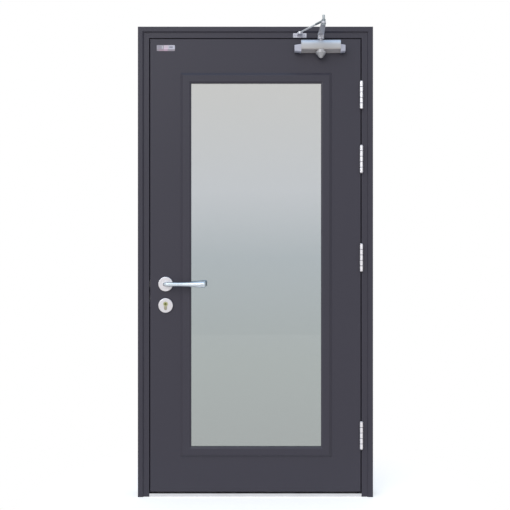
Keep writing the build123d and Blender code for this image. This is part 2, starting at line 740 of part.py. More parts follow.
def front_glazing_frame():
    """Folded front frame: outer slope, flat face, inner bevel and a short leg, welded at the mitres."""
    points = [
        (BEAD_FACE + BEAD_LIP, LEAF_FRONT),
        (BEAD_FACE, BEAD_FRONT),
        (INNER_BEVEL, BEAD_FRONT),
        (0, BEAD_FRONT + INNER_BEVEL_DROP),
        (0, BEAD_FOOT),
        (GLASS_EDGE_COVER - FOOT_SHORT_OF_GLASS_EDGE, BEAD_FOOT),
    ]
    lengths = four_sides(folded_section(points, BEAD_SHEET, BEAD_BEND))
    ring = lengths[0] + lengths[1] + lengths[2] + lengths[3]
    behind = span_box((-LEAF_X, LEAF_X), (LEAF_FRONT, LEAF_FRONT + BEAD_SHEET), (LEAF_BOTTOM, LEAF_TOP))
    return ring - (behind - leaf_cutout(CUTOUT_COVER))


def back_bead_section():
    """Folded section of a back bead: foot on the seal, deep leg and a face on the leaf's back skin."""
    foot = GLASS_BACK + GLAZING_SEAL
    face = LEAF_BACK + BACK_BEAD_THICKNESS
    points = [
        (GLASS_EDGE_COVER - FOOT_SHORT_OF_GLASS_EDGE, foot),
        (BACK_BEAD_SETBACK, foot),
        (BACK_BEAD_SETBACK, face),
        (BACK_BEAD_SETBACK + BACK_BEAD_FACE, face),
    ]
    return folded_section(points, BACK_BEAD_THICKNESS, BEAD_BEND)


def evenly_spaced(span, pitch):
    """Middles of equal steps along a (low, high) span, as near to the pitch as they fit."""
    low, high = span
    count = round((high - low) / pitch)
    return [low + (i + 0.5) * (high - low) / count for i in range(count)]


def bead_screw_points():
    """Seats of the bead screws on the leaf's back, evenly spaced along each side."""
    face_y = LEAF_BACK + BACK_BEAD_THICKNESS
    points = []
    (left, right), (bottom, top) = grown(DAYLIGHT_X, BEAD_SCREW_INSET), grown(DAYLIGHT_Z, BEAD_SCREW_INSET)
    for x in evenly_spaced(DAYLIGHT_X, BEAD_SCREW_PITCH):
        points += [(x, face_y, bottom), (x, face_y, top)]
    for z in evenly_spaced(DAYLIGHT_Z, BEAD_SCREW_PITCH):
        points += [(left, face_y, z), (right, face_y, z)]
    return points


def back_bead(side):
    """One screwed length of the back bead."""
    bead = mitred_length(back_bead_section(), DAYLIGHT_X, DAYLIGHT_Z, side)
    for seat in bead_screw_points():
        bead -= flat_screw(seat, (0, -1, 0))
    return bead


def glazing_screws():
    """Flat-headed screws of the back beads."""
    return Compound(children=[flat_screw(seat, (0, -1, 0)) for seat in bead_screw_points()])


def glazing_seal(edge, low, high):
    """Rubber strip between the glass and its frame, all round, just outside an inner edge."""
    inner, outer = grown((edge, GLASS_EDGE_COVER), -GLAZING_SEAL_INSET)
    lengths = four_sides(polygon([(inner, low), (inner, high), (outer, high), (outer, low)]))
    return lengths[0] + lengths[1] + lengths[2] + lengths[3]


# Lock, levers and cylinder

def bolt_pocket(z, thickness, height):
    """Room for a bolt to slide inside the lock case, open at the forend."""
    return span_box(
        (-LEAF_X - OVERCUT, -LEAF_X + BOLT_LENGTH + BOLT_CLEARANCE),
        around(LEAF_MIDDLE, thickness + 2 * BOLT_CLEARANCE),
        around(z, height + 2 * BOLT_CLEARANCE),
    )


def lock_pockets():
    """Everything that is cut out of the lock case and its forend."""
    latch = bolt_pocket(LEVER_HEIGHT, LATCH_THICKNESS, LATCH_HEIGHT)
    return latch + bolt_pocket(DEADBOLT_Z, DEADBOLT_THICKNESS, DEADBOLT_HEIGHT)


def lock_case():
    """Mortise lock case with its bolt pockets, the follower's seat and the cylinder's hole."""
    case = span_box(
        (-LEAF_X + FOREND_THICKNESS, -LEAF_X + FOREND_THICKNESS + CASE_DEPTH),
        around(LEAF_MIDDLE, CASE_THICKNESS),
        CASE_Z,
    )
    case = case - lock_pockets() - along_y(cylinder_profile(ROTATING_CLEARANCE), LEAF_FRONT, LEAF_BACK)
    start = (LOCK_X, LEAF_MIDDLE - CASE_THICKNESS, LEVER_HEIGHT)
    case -= round_bar(start, (0, 1, 0), FOLLOWER_RADIUS + PIN_CLEARANCE, 2 * CASE_THICKNESS)
    return case - cam_room()


def lock_faceplate():
    """Forend of the lock, let into the leaf's edge, with windows for both bolts."""
    plate = span_box(
        (-LEAF_X, -LEAF_X + FOREND_THICKNESS),
        around(LEAF_MIDDLE, FOREND_WIDTH),
        FOREND_Z,
    )
    plate = plate - lock_pockets()
    for seat in forend_screw_points():
        plate -= flat_screw(seat, (1, 0, 0))
    return plate


def forend_screw_points():
    """Seats of the two screws that hold the forend."""
    inset = FOREND_OVERHANG / 2
    return [(-LEAF_X, LEAF_MIDDLE, FOREND_Z[0] + inset), (-LEAF_X, LEAF_MIDDLE, FOREND_Z[1] - inset)]


def lock_screws():
    """The two forend screws."""
    screws = [flat_screw(seat, (1, 0, 0), FOREND_THICKNESS) for seat in forend_screw_points()]
    return Compound(children=screws)


def latch_bolt():
    """Spring latch with a slope on the side that meets the strike first as the door shuts."""
    front_x = -LEAF_X - LATCH_PROJECTION
    back_x = -LEAF_X + BOLT_LENGTH - LATCH_THROW
    near, far = around(LEAF_MIDDLE, LATCH_THICKNESS)
    outline = [
        (back_x, near),
        (front_x, near),
        (front_x, near + LATCH_NOSE),
        (-LEAF_X, far),
        (back_x, far),
    ]
    plane = Pos(0, 0, LEVER_HEIGHT - LATCH_HEIGHT / 2)
    return extrude(plane * polygon(outline), amount=LATCH_HEIGHT)


def dead_bolt():
    """Square deadbolt, drawn back level with the forend."""
    bolt = span_box(
        (-LEAF_X + DEADBOLT_RECESS, -LEAF_X + BOLT_LENGTH),
        around(LEAF_MIDDLE, DEADBOLT_THICKNESS),
        around(DEADBOLT_Z, DEADBOLT_HEIGHT),
    )
    return chamfer(bolt.faces().sort_by(Axis.X)[0].edges(), BOLT_CHAMFER)


def lock_follower():
    """Round hub in the lock case that the square spindle turns."""
    start = (LOCK_X, LEAF_MIDDLE - CASE_THICKNESS / 2, LEVER_HEIGHT)
    hub = round_bar(start, (0, 1, 0), FOLLOWER_RADIUS, CASE_THICKNESS)
    return hub - spindle_bar(SPINDLE_CLEARANCE)


def spindle_bar(clearance):
    """Square bar through the lock into both levers, grown by a clearance on each flat."""
    width = SPINDLE_SIZE + 2 * clearance
    return span_box(
        around(LOCK_X, width),
        grown((LEAF_FRONT, LEAF_BACK), LEVER_SOCKET + clearance),
        around(LEVER_HEIGHT, width),
    )


def lever(face, way):
    """Round bar lever: neck, tight bend and a grip that flares to its end. way is -1 at the front."""
    grip_y = face + way * LEVER_STAND_OFF
    neck_start = (LOCK_X, face + way * LEVER_NECK_GAP, LEVER_HEIGHT)
    neck_length = LEVER_STAND_OFF - LEVER_BEND - LEVER_NECK_GAP
    neck = round_bar(neck_start, (0, way, 0), LEVER_NECK_RADIUS, neck_length)
    bend_y = grip_y - way * LEVER_BEND
    bend_start = Plane(origin=(LOCK_X, bend_y, LEVER_HEIGHT), z_dir=(0, way, 0)) * Circle(LEVER_NECK_RADIUS)
    bend_axis = Axis(origin=(LOCK_X + LEVER_BEND, bend_y, LEVER_HEIGHT), direction=(0, 0, -way))
    bend = revolve(bend_start, axis=bend_axis, revolution_arc=90)
    length = LEVER_LENGTH - LEVER_BEND
    flat_radius = LEVER_TIP_RADIUS - LEVER_TIP_ROUND
    rim = (length - LEVER_TIP_ROUND, LEVER_TIP_RADIUS)
    outline = [
        Line((0, 0), (0, LEVER_NECK_RADIUS)),
        Spline(
            (0, LEVER_NECK_RADIUS),
            (LEVER_FLARE_START, LEVER_NECK_RADIUS + LEVER_SWELL),
            rim,
            tangents=[(1, 0), (1, 0)],
        ),
        RadiusArc(rim, (length, flat_radius), LEVER_TIP_ROUND),
        Line((length, flat_radius), (length, 0)),
        Line((length, 0), (0, 0)),
    ]
    grip = revolve(make_face(outline), axis=Axis.X, revolution_arc=360)
    grip = Pos(LOCK_X + LEVER_BEND, grip_y, LEVER_HEIGHT) * grip
    return neck + bend + grip - spindle_bar(SPINDLE_CLEARANCE)


def rose(face, way, z, hole):
    """Round cover plate with a softened rim."""
    disc = round_bar((LOCK_X, face, z), (0, way, 0), ROSE_RADIUS, ROSE_THICKNESS)
    outer = disc.edges().group_by(Axis.Y)[0 if way < 0 else -1]
    return fillet(outer, ROSE_EDGE) - hole


def lever_rose(face, way):
    """Rose round a lever's neck."""
    start = (LOCK_X, face - way * OVERCUT, LEVER_HEIGHT)
    radius = LEVER_NECK_RADIUS + ROTATING_CLEARANCE
    hole = round_bar(start, (0, way, 0), radius, ROSE_THICKNESS + 2 * OVERCUT)
    return rose(face, way, LEVER_HEIGHT, hole)


def cylinder_rose(face, way):
    """Rose round the cylinder."""
    ends = sorted((face - way * OVERCUT, face + way * (ROSE_THICKNESS + OVERCUT)))
    return rose(face, way, ROSE_Z, along_y(cylinder_profile(ROTATING_CLEARANCE), *ends))


CYLINDER_FRONT = LEAF_FRONT - ROSE_THICKNESS - CYLINDER_PROUD
CYLINDER_BACK = LEAF_BACK + ROSE_THICKNESS + CYLINDER_PROUD


def cam_room():
    """Round space in the middle of the cylinder and the lock case where the cam turns."""
    start = (LOCK_X, LEAF_MIDDLE - CAM_WIDTH / 2, CYLINDER_Z)
    return round_bar(start, (0, 1, 0), CAM_REACH + ROTATING_CLEARANCE, CAM_WIDTH)


def cylinder_body():
    """Profile cylinder body, slotted in the middle for the cam."""
    body = along_y(cylinder_profile(0), CYLINDER_FRONT, CYLINDER_BACK)
    bore_start = (LOCK_X, CYLINDER_FRONT - OVERCUT, CYLINDER_Z)
    body -= round_bar(bore_start, (0, 1, 0), CYLINDER_BORE_RADIUS, FRAME_DEPTH)
    return body - cam_room()


def cylinder_plug():
    """Front plug of the cylinder with its key slot."""
    length = LEAF_MIDDLE - CAM_WIDTH / 2 - CYLINDER_FRONT
    start = (LOCK_X, CYLINDER_FRONT, CYLINDER_Z)
    plug = round_bar(start, (0, 1, 0), CYLINDER_BORE_RADIUS - PIN_CLEARANCE, length)
    slot = span_box(
        around(LOCK_X, KEY_SLOT_WIDTH),
        (CYLINDER_FRONT - OVERCUT, CYLINDER_FRONT + KEY_SLOT_DEPTH),
        around(CYLINDER_Z - KEY_SLOT_DROP, KEY_SLOT_HEIGHT),
    )
    return plug - slot


def thumbturn():
    """Cam, back plug and turn knob, which move the deadbolt."""
    plug_radius = CYLINDER_BORE_RADIUS - PIN_CLEARANCE
    cam_y = LEAF_MIDDLE - CAM_WIDTH / 2
    collar_y = CYLINDER_BACK + COLLAR_GAP
    plug = round_bar((LOCK_X, cam_y, CYLINDER_Z), (0, 1, 0), plug_radius, collar_y - cam_y)
    cam = span_box(
        around(LOCK_X, CAM_THICKNESS),
        (cam_y + ROTATING_CLEARANCE, cam_y + CAM_WIDTH - ROTATING_CLEARANCE),
        (CYLINDER_Z - CAM_REACH + CAM_END_CLEARANCE, CYLINDER_Z),
    )
    collar = round_bar((LOCK_X, collar_y, CYLINDER_Z), (0, 1, 0), CYLINDER_HEAD_RADIUS, COLLAR_HEIGHT)
    grip = span_box(
        around(LOCK_X, THUMBTURN_THICKNESS),
        (collar_y + COLLAR_HEIGHT / 2, CYLINDER_BACK + THUMBTURN_LENGTH),
        around(CYLINDER_Z, THUMBTURN_WIDTH),
    )
    grip = fillet(grip.edges().filter_by(Axis.X), THUMBTURN_ROUND)
    return plug + cam + collar + grip


# Strike

def strike_span():
    """Where the strike plate lies, let into the lock jamb."""
    return (
        (-REBATE_X - STRIKE_THICKNESS, -REBATE_X),
        around(LEAF_MIDDLE, STRIKE_WIDTH),
        (DEADBOLT_Z - DEADBOLT_HEIGHT / 2 - STRIKE_MARGIN, LEVER_HEIGHT + LATCH_HEIGHT / 2 + STRIKE_MARGIN),
    )


def strike_box_outline():
    """Outline of the box behind the strike, along Y and Z."""
    y = around(LEAF_MIDDLE, DEADBOLT_THICKNESS + 2 * STRIKE_CLEARANCE + 2 * FRAME_SHEET)
    low = DEADBOLT_Z - DEADBOLT_HEIGHT / 2 - STRIKE_CLEARANCE - FRAME_SHEET
    high = LEVER_HEIGHT + LATCH_HEIGHT / 2 + STRIKE_CLEARANCE + FRAME_SHEET
    return y, (low, high)


def strike_screw_points():
    """Seats of the two strike screws."""
    low, high = grown(strike_span()[2], -STRIKE_SCREW_INSET)
    return [(-REBATE_X, LEAF_MIDDLE, low), (-REBATE_X, LEAF_MIDDLE, high)]


def strike_plate():
    """Strike plate with one window for the latch and one for the deadbolt."""
    plate = span_box(*strike_span())
    windows = (
        (LEVER_HEIGHT, LATCH_THICKNESS, LATCH_HEIGHT),
        (DEADBOLT_Z, DEADBOLT_THICKNESS, DEADBOLT_HEIGHT),
    )
    for z, thickness, height in windows:
        plate -= span_box(
            (-FRAME_WIDTH, 0),
            around(LEAF_MIDDLE, thickness + 2 * STRIKE_CLEARANCE),
            around(z, height + 2 * STRIKE_CLEARANCE),
        )
    for seat in strike_screw_points():
        plate -= flat_screw(seat, (-1, 0, 0))
    return plate


def strike_box():
    """Folded box behind the strike that keeps the frame's filling away from the bolts."""
    y, z = strike_box_outline()
    front = -REBATE_X - STRIKE_THICKNESS
    box = span_box((STRIKE_BOX_BACK, front), y, z)
    inside = (STRIKE_BOX_BACK + FRAME_SHEET, front + OVERCUT)
    return box - span_box(inside, grown(y, -FRAME_SHEET), grown(z, -FRAME_SHEET))


def strike_screws():
    """The two strike screws."""
    return Compound(children=[flat_screw(seat, (-1, 0, 0)) for seat in strike_screw_points()])


# Closer

def closer_body():
    """Cast closer body with a rounded top, a sloping underside and a bore for the spindle."""
    back_bottom = CLOSER_TOP - CLOSER_HEIGHT
    front_bottom = CLOSER_TOP - CLOSER_FRONT_DROP
    front = LEAF_FRONT - CLOSER_DEPTH
    outline = [
        (LEAF_FRONT, back_bottom),
        (LEAF_FRONT, CLOSER_TOP),
        (front, CLOSER_TOP),
        (front, front_bottom),
    ]
    plane = Plane(origin=(CLOSER_X - CLOSER_WIDTH / 2, 0, 0), x_dir=(0, 1, 0), z_dir=(1, 0, 0))
    body = extrude(plane * polygon(outline), amount=CLOSER_WIDTH)
    front_edges = body.edges().filter_by(Axis.X).group_by(Axis.Y)[0].sort_by(Axis.Z)
    body = fillet(front_edges[-1], CLOSER_ROUND)
    lower = body.edges().filter_by(Axis.X).group_by(Axis.Y)[0].sort_by(Axis.Z)[0]
    body = fillet(lower, CLOSER_LOWER_ROUND)
    low = (CLOSER_X, SPINDLE_Y, back_bottom - CONE_HEIGHT)
    return body - round_bar(low, (0, 0, 1), SPINDLE_RADIUS + PIN_CLEARANCE, CLOSER_HEIGHT + 2 * CONE_HEIGHT)


def closer_end_cap(x, way, length):
    """Moulded cap on one end of the body, tapering outwards."""
    middle_z = CLOSER_TOP - CAP_CENTRE_DROP
    front, back = LEAF_FRONT - CLOSER_DEPTH + CAP_FRONT_INSET, LEAF_FRONT - CAP_BACK_INSET
    sections = []
    for along, height, taper in ((0, CAP_HEIGHT, 0), (length, CAP_END_HEIGHT, CAP_TAPER_DEPTH)):
        low_y, high_y = grown((front, back), -taper)
        middle = (x + way * along, (low_y + high_y) / 2, middle_z)
        plane = Plane(origin=middle, x_dir=(0, 1, 0), z_dir=(way, 0, 0))
        sections.append(plane * RectangleRounded(high_y - low_y, height, CAP_CORNER))
    return loft(sections)


def closer_end_caps():
    """Both moulded end caps."""
    left = CLOSER_X - CLOSER_WIDTH / 2
    right = CLOSER_X + CLOSER_WIDTH / 2
    caps = [
        closer_end_cap(left, -1, CAP_LENGTH_LATCH_SIDE),
        closer_end_cap(right, 1, CAP_LENGTH_HINGE_SIDE),
    ]
    return Compound(children=caps)


def underside_z(y):
    """Height of the closer's sloping underside at a given depth."""
    share = (LEAF_FRONT - y) / CLOSER_DEPTH
    return CLOSER_TOP - CLOSER_HEIGHT + share * (CLOSER_HEIGHT - CLOSER_FRONT_DROP)


def closer_spindle_cap():
    """Conical cap over the lower end of the spindle: a boss on the underside, a rim and a rounded cone."""
    rim_top = CLOSER_TOP - CLOSER_HEIGHT - CONE_RIM_GAP
    rim_low = rim_top - CONE_RIM
    cone = cone_bar((CLOSER_X, SPINDLE_Y, rim_low), (0, 0, -1), CONE_RADIUS, CONE_TIP_RADIUS, CONE_HEIGHT)
    cone = fillet(cone.edges().group_by(Axis.Z)[0], CONE_ROUND)
    rim = round_bar((CLOSER_X, SPINDLE_Y, rim_low), (0, 0, 1), CONE_RADIUS, CONE_RIM)
    boss_height = underside_z(SPINDLE_Y - CONE_BOSS_RADIUS) - rim_top
    cap = cone + rim + round_bar((CLOSER_X, SPINDLE_Y, rim_top), (0, 0, 1), CONE_BOSS_RADIUS, boss_height)
    slope = Plane(
        origin=(CLOSER_X, SPINDLE_Y, underside_z(SPINDLE_Y)),
        x_dir=(1, 0, 0),
        z_dir=(0, -(CLOSER_HEIGHT - CLOSER_FRONT_DROP), -CLOSER_DEPTH),
    )
    return split(cap, bisect_by=slope, keep=Keep.TOP)


def closer_spindle():
    """Upright spindle with a square upper end for the arm."""
    low = underside_z(SPINDLE_Y) + SPINDLE_BOTTOM
    shoulder = CLOSER_TOP + SPINDLE_SHOULDER
    spindle = round_bar((CLOSER_X, SPINDLE_Y, low), (0, 0, 1), SPINDLE_RADIUS, shoulder - low)
    square = span_box(
        around(CLOSER_X, SPINDLE_SQUARE),
        around(SPINDLE_Y, SPINDLE_SQUARE),
        (shoulder, ARM_Z + ARM_THICKNESS + SPINDLE_TOP),
    )
    return spindle + square


def closer_main_arm():
    """Forged main arm: hub on the spindle, tapering bar ribbed along both faces, and elbow boss."""
    hub_z = CLOSER_TOP + ARM_HUB_GAP
    hub_height = ARM_Z + ARM_THICKNESS + ARM_HUB_TOP - hub_z
    hub = round_bar((CLOSER_X, SPINDLE_Y, hub_z), (0, 0, 1), ARM_HUB_RADIUS, hub_height)
    elbow = round_bar((ELBOW_X, ELBOW_Y, ARM_Z), (0, 0, 1), ARM_ELBOW_RADIUS, ARM_THICKNESS)
    bar = extrude(arm_outline(0, ARM_LENGTH, 0), amount=ARM_THICKNESS)
    groove_end = ARM_GROOVE_START + ARM_GROOVE_LENGTH
    groove = extrude(arm_outline(ARM_GROOVE_START, groove_end, ARM_RIB), amount=ARM_GROOVE_DEPTH)
    bar = bar - groove - Pos(0, 0, ARM_THICKNESS - ARM_GROOVE_DEPTH) * groove
    arm = hub + elbow + Pos(CLOSER_X, SPINDLE_Y, ARM_Z) * Rot(0, 0, -ARM_LEAN) * bar
    square = SPINDLE_SQUARE + 2 * PIN_CLEARANCE
    arm -= span_box(around(CLOSER_X, square), around(SPINDLE_Y, square), (0, 2 * FRAME_HEIGHT))
    return arm - elbow_hole()


def arm_outline(start, end, inset):
    """Outline of the tapering bar between two distances from the hub, inset from its long edges."""
    corners = []
    for along in (start, end):
        width = ARM_HUB_WIDTH + (ARM_ELBOW_WIDTH - ARM_HUB_WIDTH) * along / ARM_LENGTH
        corners.append((width / 2 - inset, -along))
    mirrored = [(-x, y) for x, y in reversed(corners)]
    return polygon(corners + mirrored)


def elbow_hole():
    """Hole through the main arm and the forearm's eye for the elbow screw."""
    start = (ELBOW_X, ELBOW_Y, ARM_Z - OVERCUT)
    height = FOREARM_Z + FOREARM_EYE_THICKNESS - ARM_Z
    return round_bar(start, (0, 0, 1), ELBOW_SCREW_RADIUS + PIN_CLEARANCE, height)


def forearm_line():
    """Middles of both eyes of the forearm and the unit direction from the elbow to the foot."""
    elbow = Vector(ELBOW_X, ELBOW_Y, FOREARM_Z)
    foot = Vector(FOOT_X, FOOT_Y, FOREARM_Z)
    return elbow, foot, (foot - elbow).normalized()


def closer_forearm():
    """Adjusting rod of the forearm with the eye that sits on the foot's stud."""
    elbow, foot, direction = forearm_line()
    start = elbow + direction * (FOREARM_SLEEVE_LENGTH - FOREARM_ROD_IN_SLEEVE)
    rod = round_bar(start, direction, FOREARM_RADIUS, (foot - start).length)
    low = FOREARM_Z - FOOT_EYE_THICKNESS / 2
    eye = round_bar((FOOT_X, FOOT_Y, low), (0, 0, 1), FOREARM_FOOT_EYE_RADIUS, FOOT_EYE_THICKNESS)
    hole_start = (FOOT_X, FOOT_Y, low - OVERCUT)
    hole_height = FOOT_EYE_THICKNESS + 2 * OVERCUT
    return rod + eye - round_bar(hole_start, (0, 0, 1), FOOT_STUD_RADIUS + FOOT_EYE_CLEARANCE, hole_height)


def closer_forearm_sleeve():
    """Socket of the forearm: an eye on the elbow screw and a tube that takes the rod."""
    elbow, _, direction = forearm_line()
    low = FOREARM_Z - FOREARM_EYE_THICKNESS / 2
    eye = round_bar((ELBOW_X, ELBOW_Y, low), (0, 0, 1), FOREARM_ELBOW_EYE_RADIUS, FOREARM_EYE_THICKNESS)
    tube = round_bar(elbow, direction, FOREARM_SLEEVE_RADIUS, FOREARM_SLEEVE_LENGTH)
    bore_depth = FOREARM_ROD_IN_SLEEVE + FOREARM_SLEEVE_SPARE
    bore_start = elbow + direction * (FOREARM_SLEEVE_LENGTH - bore_depth)
    bore = round_bar(bore_start, direction, FOREARM_RADIUS + PIN_CLEARANCE, bore_depth + OVERCUT)
    return eye + tube - bore - elbow_hole()


def elbow_screw():
    """Shouldered screw through the elbow with a collar, a tall head and a hexagon nut below."""
    low = ARM_Z - ROTATING_CLEARANCE
    top = FOREARM_Z + FOREARM_EYE_THICKNESS / 2 + ELBOW_HEAD_GAP
    shank = round_bar((ELBOW_X, ELBOW_Y, low), (0, 0, 1), ELBOW_SCREW_RADIUS, top - low)
    collar = round_bar((ELBOW_X, ELBOW_Y, top), (0, 0, 1), ELBOW_COLLAR_RADIUS, ELBOW_COLLAR_HEIGHT)
    head_low = top + ELBOW_COLLAR_HEIGHT
    head = round_bar((ELBOW_X, ELBOW_Y, head_low), (0, 0, 1), ELBOW_HEAD_RADIUS, ELBOW_HEAD_HEIGHT)
    head = fillet(head.edges().group_by(Axis.Z)[-1], ELBOW_HEAD_ROUND)
    nut = extrude(Pos(ELBOW_X, ELBOW_Y, low) * RegularPolygon(ELBOW_NUT_RADIUS, 6), amount=-ELBOW_NUT_HEIGHT)
    return shank + collar + head + nut


def closer_foot():
    """Foot bracket on the frame's head: fixing plate, raised lug, tongue and the stud for the forearm."""
    plate = span_box(
        around(FOOT_X, FOOT_WIDTH),
        (LEAF_FRONT - FOOT_PLATE, LEAF_FRONT),
        around(FOOT_PLATE_Z, FOOT_HEIGHT),
    )
    plate = fillet(plate.edges().filter_by(Axis.Y), FOOT_CORNER)
    inside_plate = LEAF_FRONT - FOOT_PLATE / 2
    tongue_top = FOREARM_Z - FOOT_EYE_THICKNESS / 2 - FOREARM_SEAT_GAP
    tongue_low = tongue_top - FOOT_TONGUE_THICKNESS
    tongue_x = around(FOOT_X, 2 * FOOT_TONGUE_RADIUS)
    tongue = span_box(tongue_x, (FOOT_Y, inside_plate), (tongue_low, tongue_top))
    tongue += round_bar((FOOT_X, FOOT_Y, tongue_low), (0, 0, 1), FOOT_TONGUE_RADIUS, FOOT_TONGUE_THICKNESS)
    stud_height = FOOT_TONGUE_THICKNESS + FOREARM_SEAT_GAP + FOOT_EYE_THICKNESS + FOOT_STUD_PROUD
    stud = round_bar((FOOT_X, FOOT_Y, tongue_low), (0, 0, 1), FOOT_STUD_RADIUS, stud_height)
    lug_x = around(FOOT_X, FOOT_LUG_WIDTH)
    lug_front = LEAF_FRONT - FOOT_LUG_REACH
    lug_top = FOOT_PLATE_Z + FOOT_HEIGHT / 2
    lug = span_box(lug_x, (lug_front, inside_plate), (tongue_low, lug_top))
    rim = span_box(lug_x, (lug_front, lug_front + FOOT_LUG_RIM), (tongue_low, lug_top + FOOT_RIM_HEIGHT))
    rim = fillet(rim.edges().filter_by(Axis.Y), FOOT_RIM_ROUND)
    foot = plate + tongue + stud + lug + rim
    for seat in foot_screw_points():
        foot -= flat_screw(seat, (0, 1, 0))
    return foot


def foot_screw_points():
    """Seats of the two screws in the foot."""
    return [(x, LEAF_FRONT - FOOT_PLATE, FOOT_PLATE_Z) for x in around(FOOT_X, FOOT_SCREW_SPACING)]


def closer_foot_screws():
    """The two screws of the foot."""
    return Compound(children=[flat_screw(seat, (0, 1, 0)) for seat in foot_screw_points()])


def rating_plate():
    """Small blank plate near the top corner."""
    left = -LEAF_X + PLATE_FROM_EDGE
    top = LEAF_TOP - PLATE_FROM_TOP
    plate = span_box(
        (left, left + PLATE_WIDTH),
        (LEAF_FRONT - PLATE_THICKNESS, LEAF_FRONT),
        (top - PLATE_HEIGHT, top),
    )
    return fillet(plate.edges().filter_by(Axis.Y), PLATE_CORNER)


def main():
    """Build every sub-part and write it."""
    os.makedirs("parts", exist_ok=True)
    save("frame_head", frame_head())
    save("frame_hinge_jamb", frame_hinge_jamb())
    save("frame_lock_jamb", frame_lock_jamb())
    save("threshold", threshold())
    save("frame_seal", frame_seal())
    save("strike_plate", strike_plate())
    save("strike_box", strike_box())
    save("strike_screws", strike_screws())
    for number, height in enumerate(HINGE_HEIGHTS, start=1):
        save(f"hinge_{number}_frame_leaf", hinge_leaf(height, frame_plate_span(height), (0, 2, 4), 1))
        save(f"hinge_{number}_door_leaf", hinge_leaf(height, door_plate_span(height), (1, 3), -1))
    save("hinge_pins", hinge_pins())
    save("hinge_frame_screws", hinge_screws(REBATE_X, 1))
    save("hinge_door_screws", hinge_screws(LEAF_X, -1))
    save("closer_foot", closer_foot())
    save("closer_foot_screws", closer_foot_screws())
    save("leaf_front_skin", leaf_front_skin())
    save("leaf_back_skin", leaf_back_skin())
    save("leaf_top_channel", leaf_channel(LEAF_TOP, 1))
    save("leaf_bottom_channel", leaf_channel(LEAF_BOTTOM, -1))
    save("leaf_core_boards", leaf_core_boards())
    save("glass_pane", glass_pane())
    save("front_glazing_frame", front_glazing_frame())
    for side in ("top", "right", "bottom", "left"):
        save(f"back_bead_{side}", back_bead(side))
    save("front_glazing_seal", glazing_seal(0, GLASS_FRONT - GLAZING_SEAL, GLASS_FRONT))
    save("back_glazing_seal", glazing_seal(BACK_BEAD_SETBACK, GLASS_BACK, GLASS_BACK + GLAZING_SEAL))
    save("glazing_screws", glazing_screws())
    save("lock_case", lock_case())
    save("lock_faceplate", lock_faceplate())
    save("lock_screws", lock_screws())
    save("lock_follower", lock_follower())
    save("latch_bolt", latch_bolt())
    save("dead_bolt", dead_bolt())
    save("lever_spindle", spindle_bar(0))
    save("front_lever", lever(LEAF_FRONT, -1))
    save("back_lever", lever(LEAF_BACK, 1))
    save("front_lever_rose", lever_rose(LEAF_FRONT, -1))
    save("back_lever_rose", lever_rose(LEAF_BACK, 1))
    save("front_cylinder_rose", cylinder_rose(LEAF_FRONT, -1))
    save("back_cylinder_rose", cylinder_rose(LEAF_BACK, 1))
    save("cylinder_body", cylinder_body())
    save("cylinder_plug", cylinder_plug())
    save("thumbturn", thumbturn())
    save("closer_body", closer_body())
    save("closer_end_caps", closer_end_caps())
    save("closer_spindle_cap", closer_spindle_cap())
    save("closer_spindle", closer_spindle())
    save("closer_main_arm", closer_main_arm())
    save("closer_forearm", closer_forearm())
    save("closer_forearm_sleeve", closer_forearm_sleeve())
    save("elbow_screw", elbow_screw())
    save("rating_plate", rating_plate())


main()
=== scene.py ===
from math import atan2, cos, pi, radians, sin

import bmesh
import bpy
from mathutils import Matrix, Vector
from mathutils.geometry import tessellate_polygon


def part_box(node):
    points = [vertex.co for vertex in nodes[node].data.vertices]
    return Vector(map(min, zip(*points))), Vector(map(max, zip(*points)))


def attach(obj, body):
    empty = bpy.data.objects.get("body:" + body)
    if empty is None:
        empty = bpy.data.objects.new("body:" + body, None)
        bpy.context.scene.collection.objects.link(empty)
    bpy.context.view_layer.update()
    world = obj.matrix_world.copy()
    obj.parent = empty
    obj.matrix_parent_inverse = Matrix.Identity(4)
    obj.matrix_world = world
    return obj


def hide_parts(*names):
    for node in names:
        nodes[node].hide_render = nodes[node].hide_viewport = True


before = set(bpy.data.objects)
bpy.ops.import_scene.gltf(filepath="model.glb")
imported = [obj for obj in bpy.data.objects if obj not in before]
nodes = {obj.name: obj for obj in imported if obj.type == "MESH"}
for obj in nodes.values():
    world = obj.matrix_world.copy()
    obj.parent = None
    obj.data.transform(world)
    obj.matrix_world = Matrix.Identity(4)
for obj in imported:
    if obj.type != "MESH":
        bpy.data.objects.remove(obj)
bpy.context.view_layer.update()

# The studio: a pale floor that the door stands on, a white surround and soft light.
# The camera stands straight in front of the door at about half its height,
# far enough back that the whole frame and the closer's arm fit the square picture.

CAMERA_PLACE = (-0.002, -3.980, 1.132)
CAMERA_LENS = 59.2
SENSOR_WIDTH = 36.0
WHITE = (1, 1, 1, 1)
FLOOR_HALF_WIDTH = 9.0
FLOOR_NEAR = -8.0
FLOOR_FAR = 14.0
FLOOR_COLOUR = (0.82, 0.80, 0.77, 1)
FLOOR_GLOW = 0.50
FLOOR_SHADOW_REACH = (0.45, 1.1)
FLOOR_IN_METAL = (0.86, 0.82, 0.80, 1)
GROUND_COLOUR = (0.50, 0.47, 0.46, 1)
LOW_SKY_COLOUR = (0.80, 0.90, 1.0, 1)
SKY_COLOUR = (0.50, 0.72, 1.0, 1)
SKY_STOPS = [
    (0.0, GROUND_COLOUR),
    (0.46, GROUND_COLOUR),
    (0.52, WHITE),
    (0.62, WHITE),
    (0.76, LOW_SKY_COLOUR),
    (1.0, SKY_COLOUR),
]
SURROUND_LIGHT = 0.70


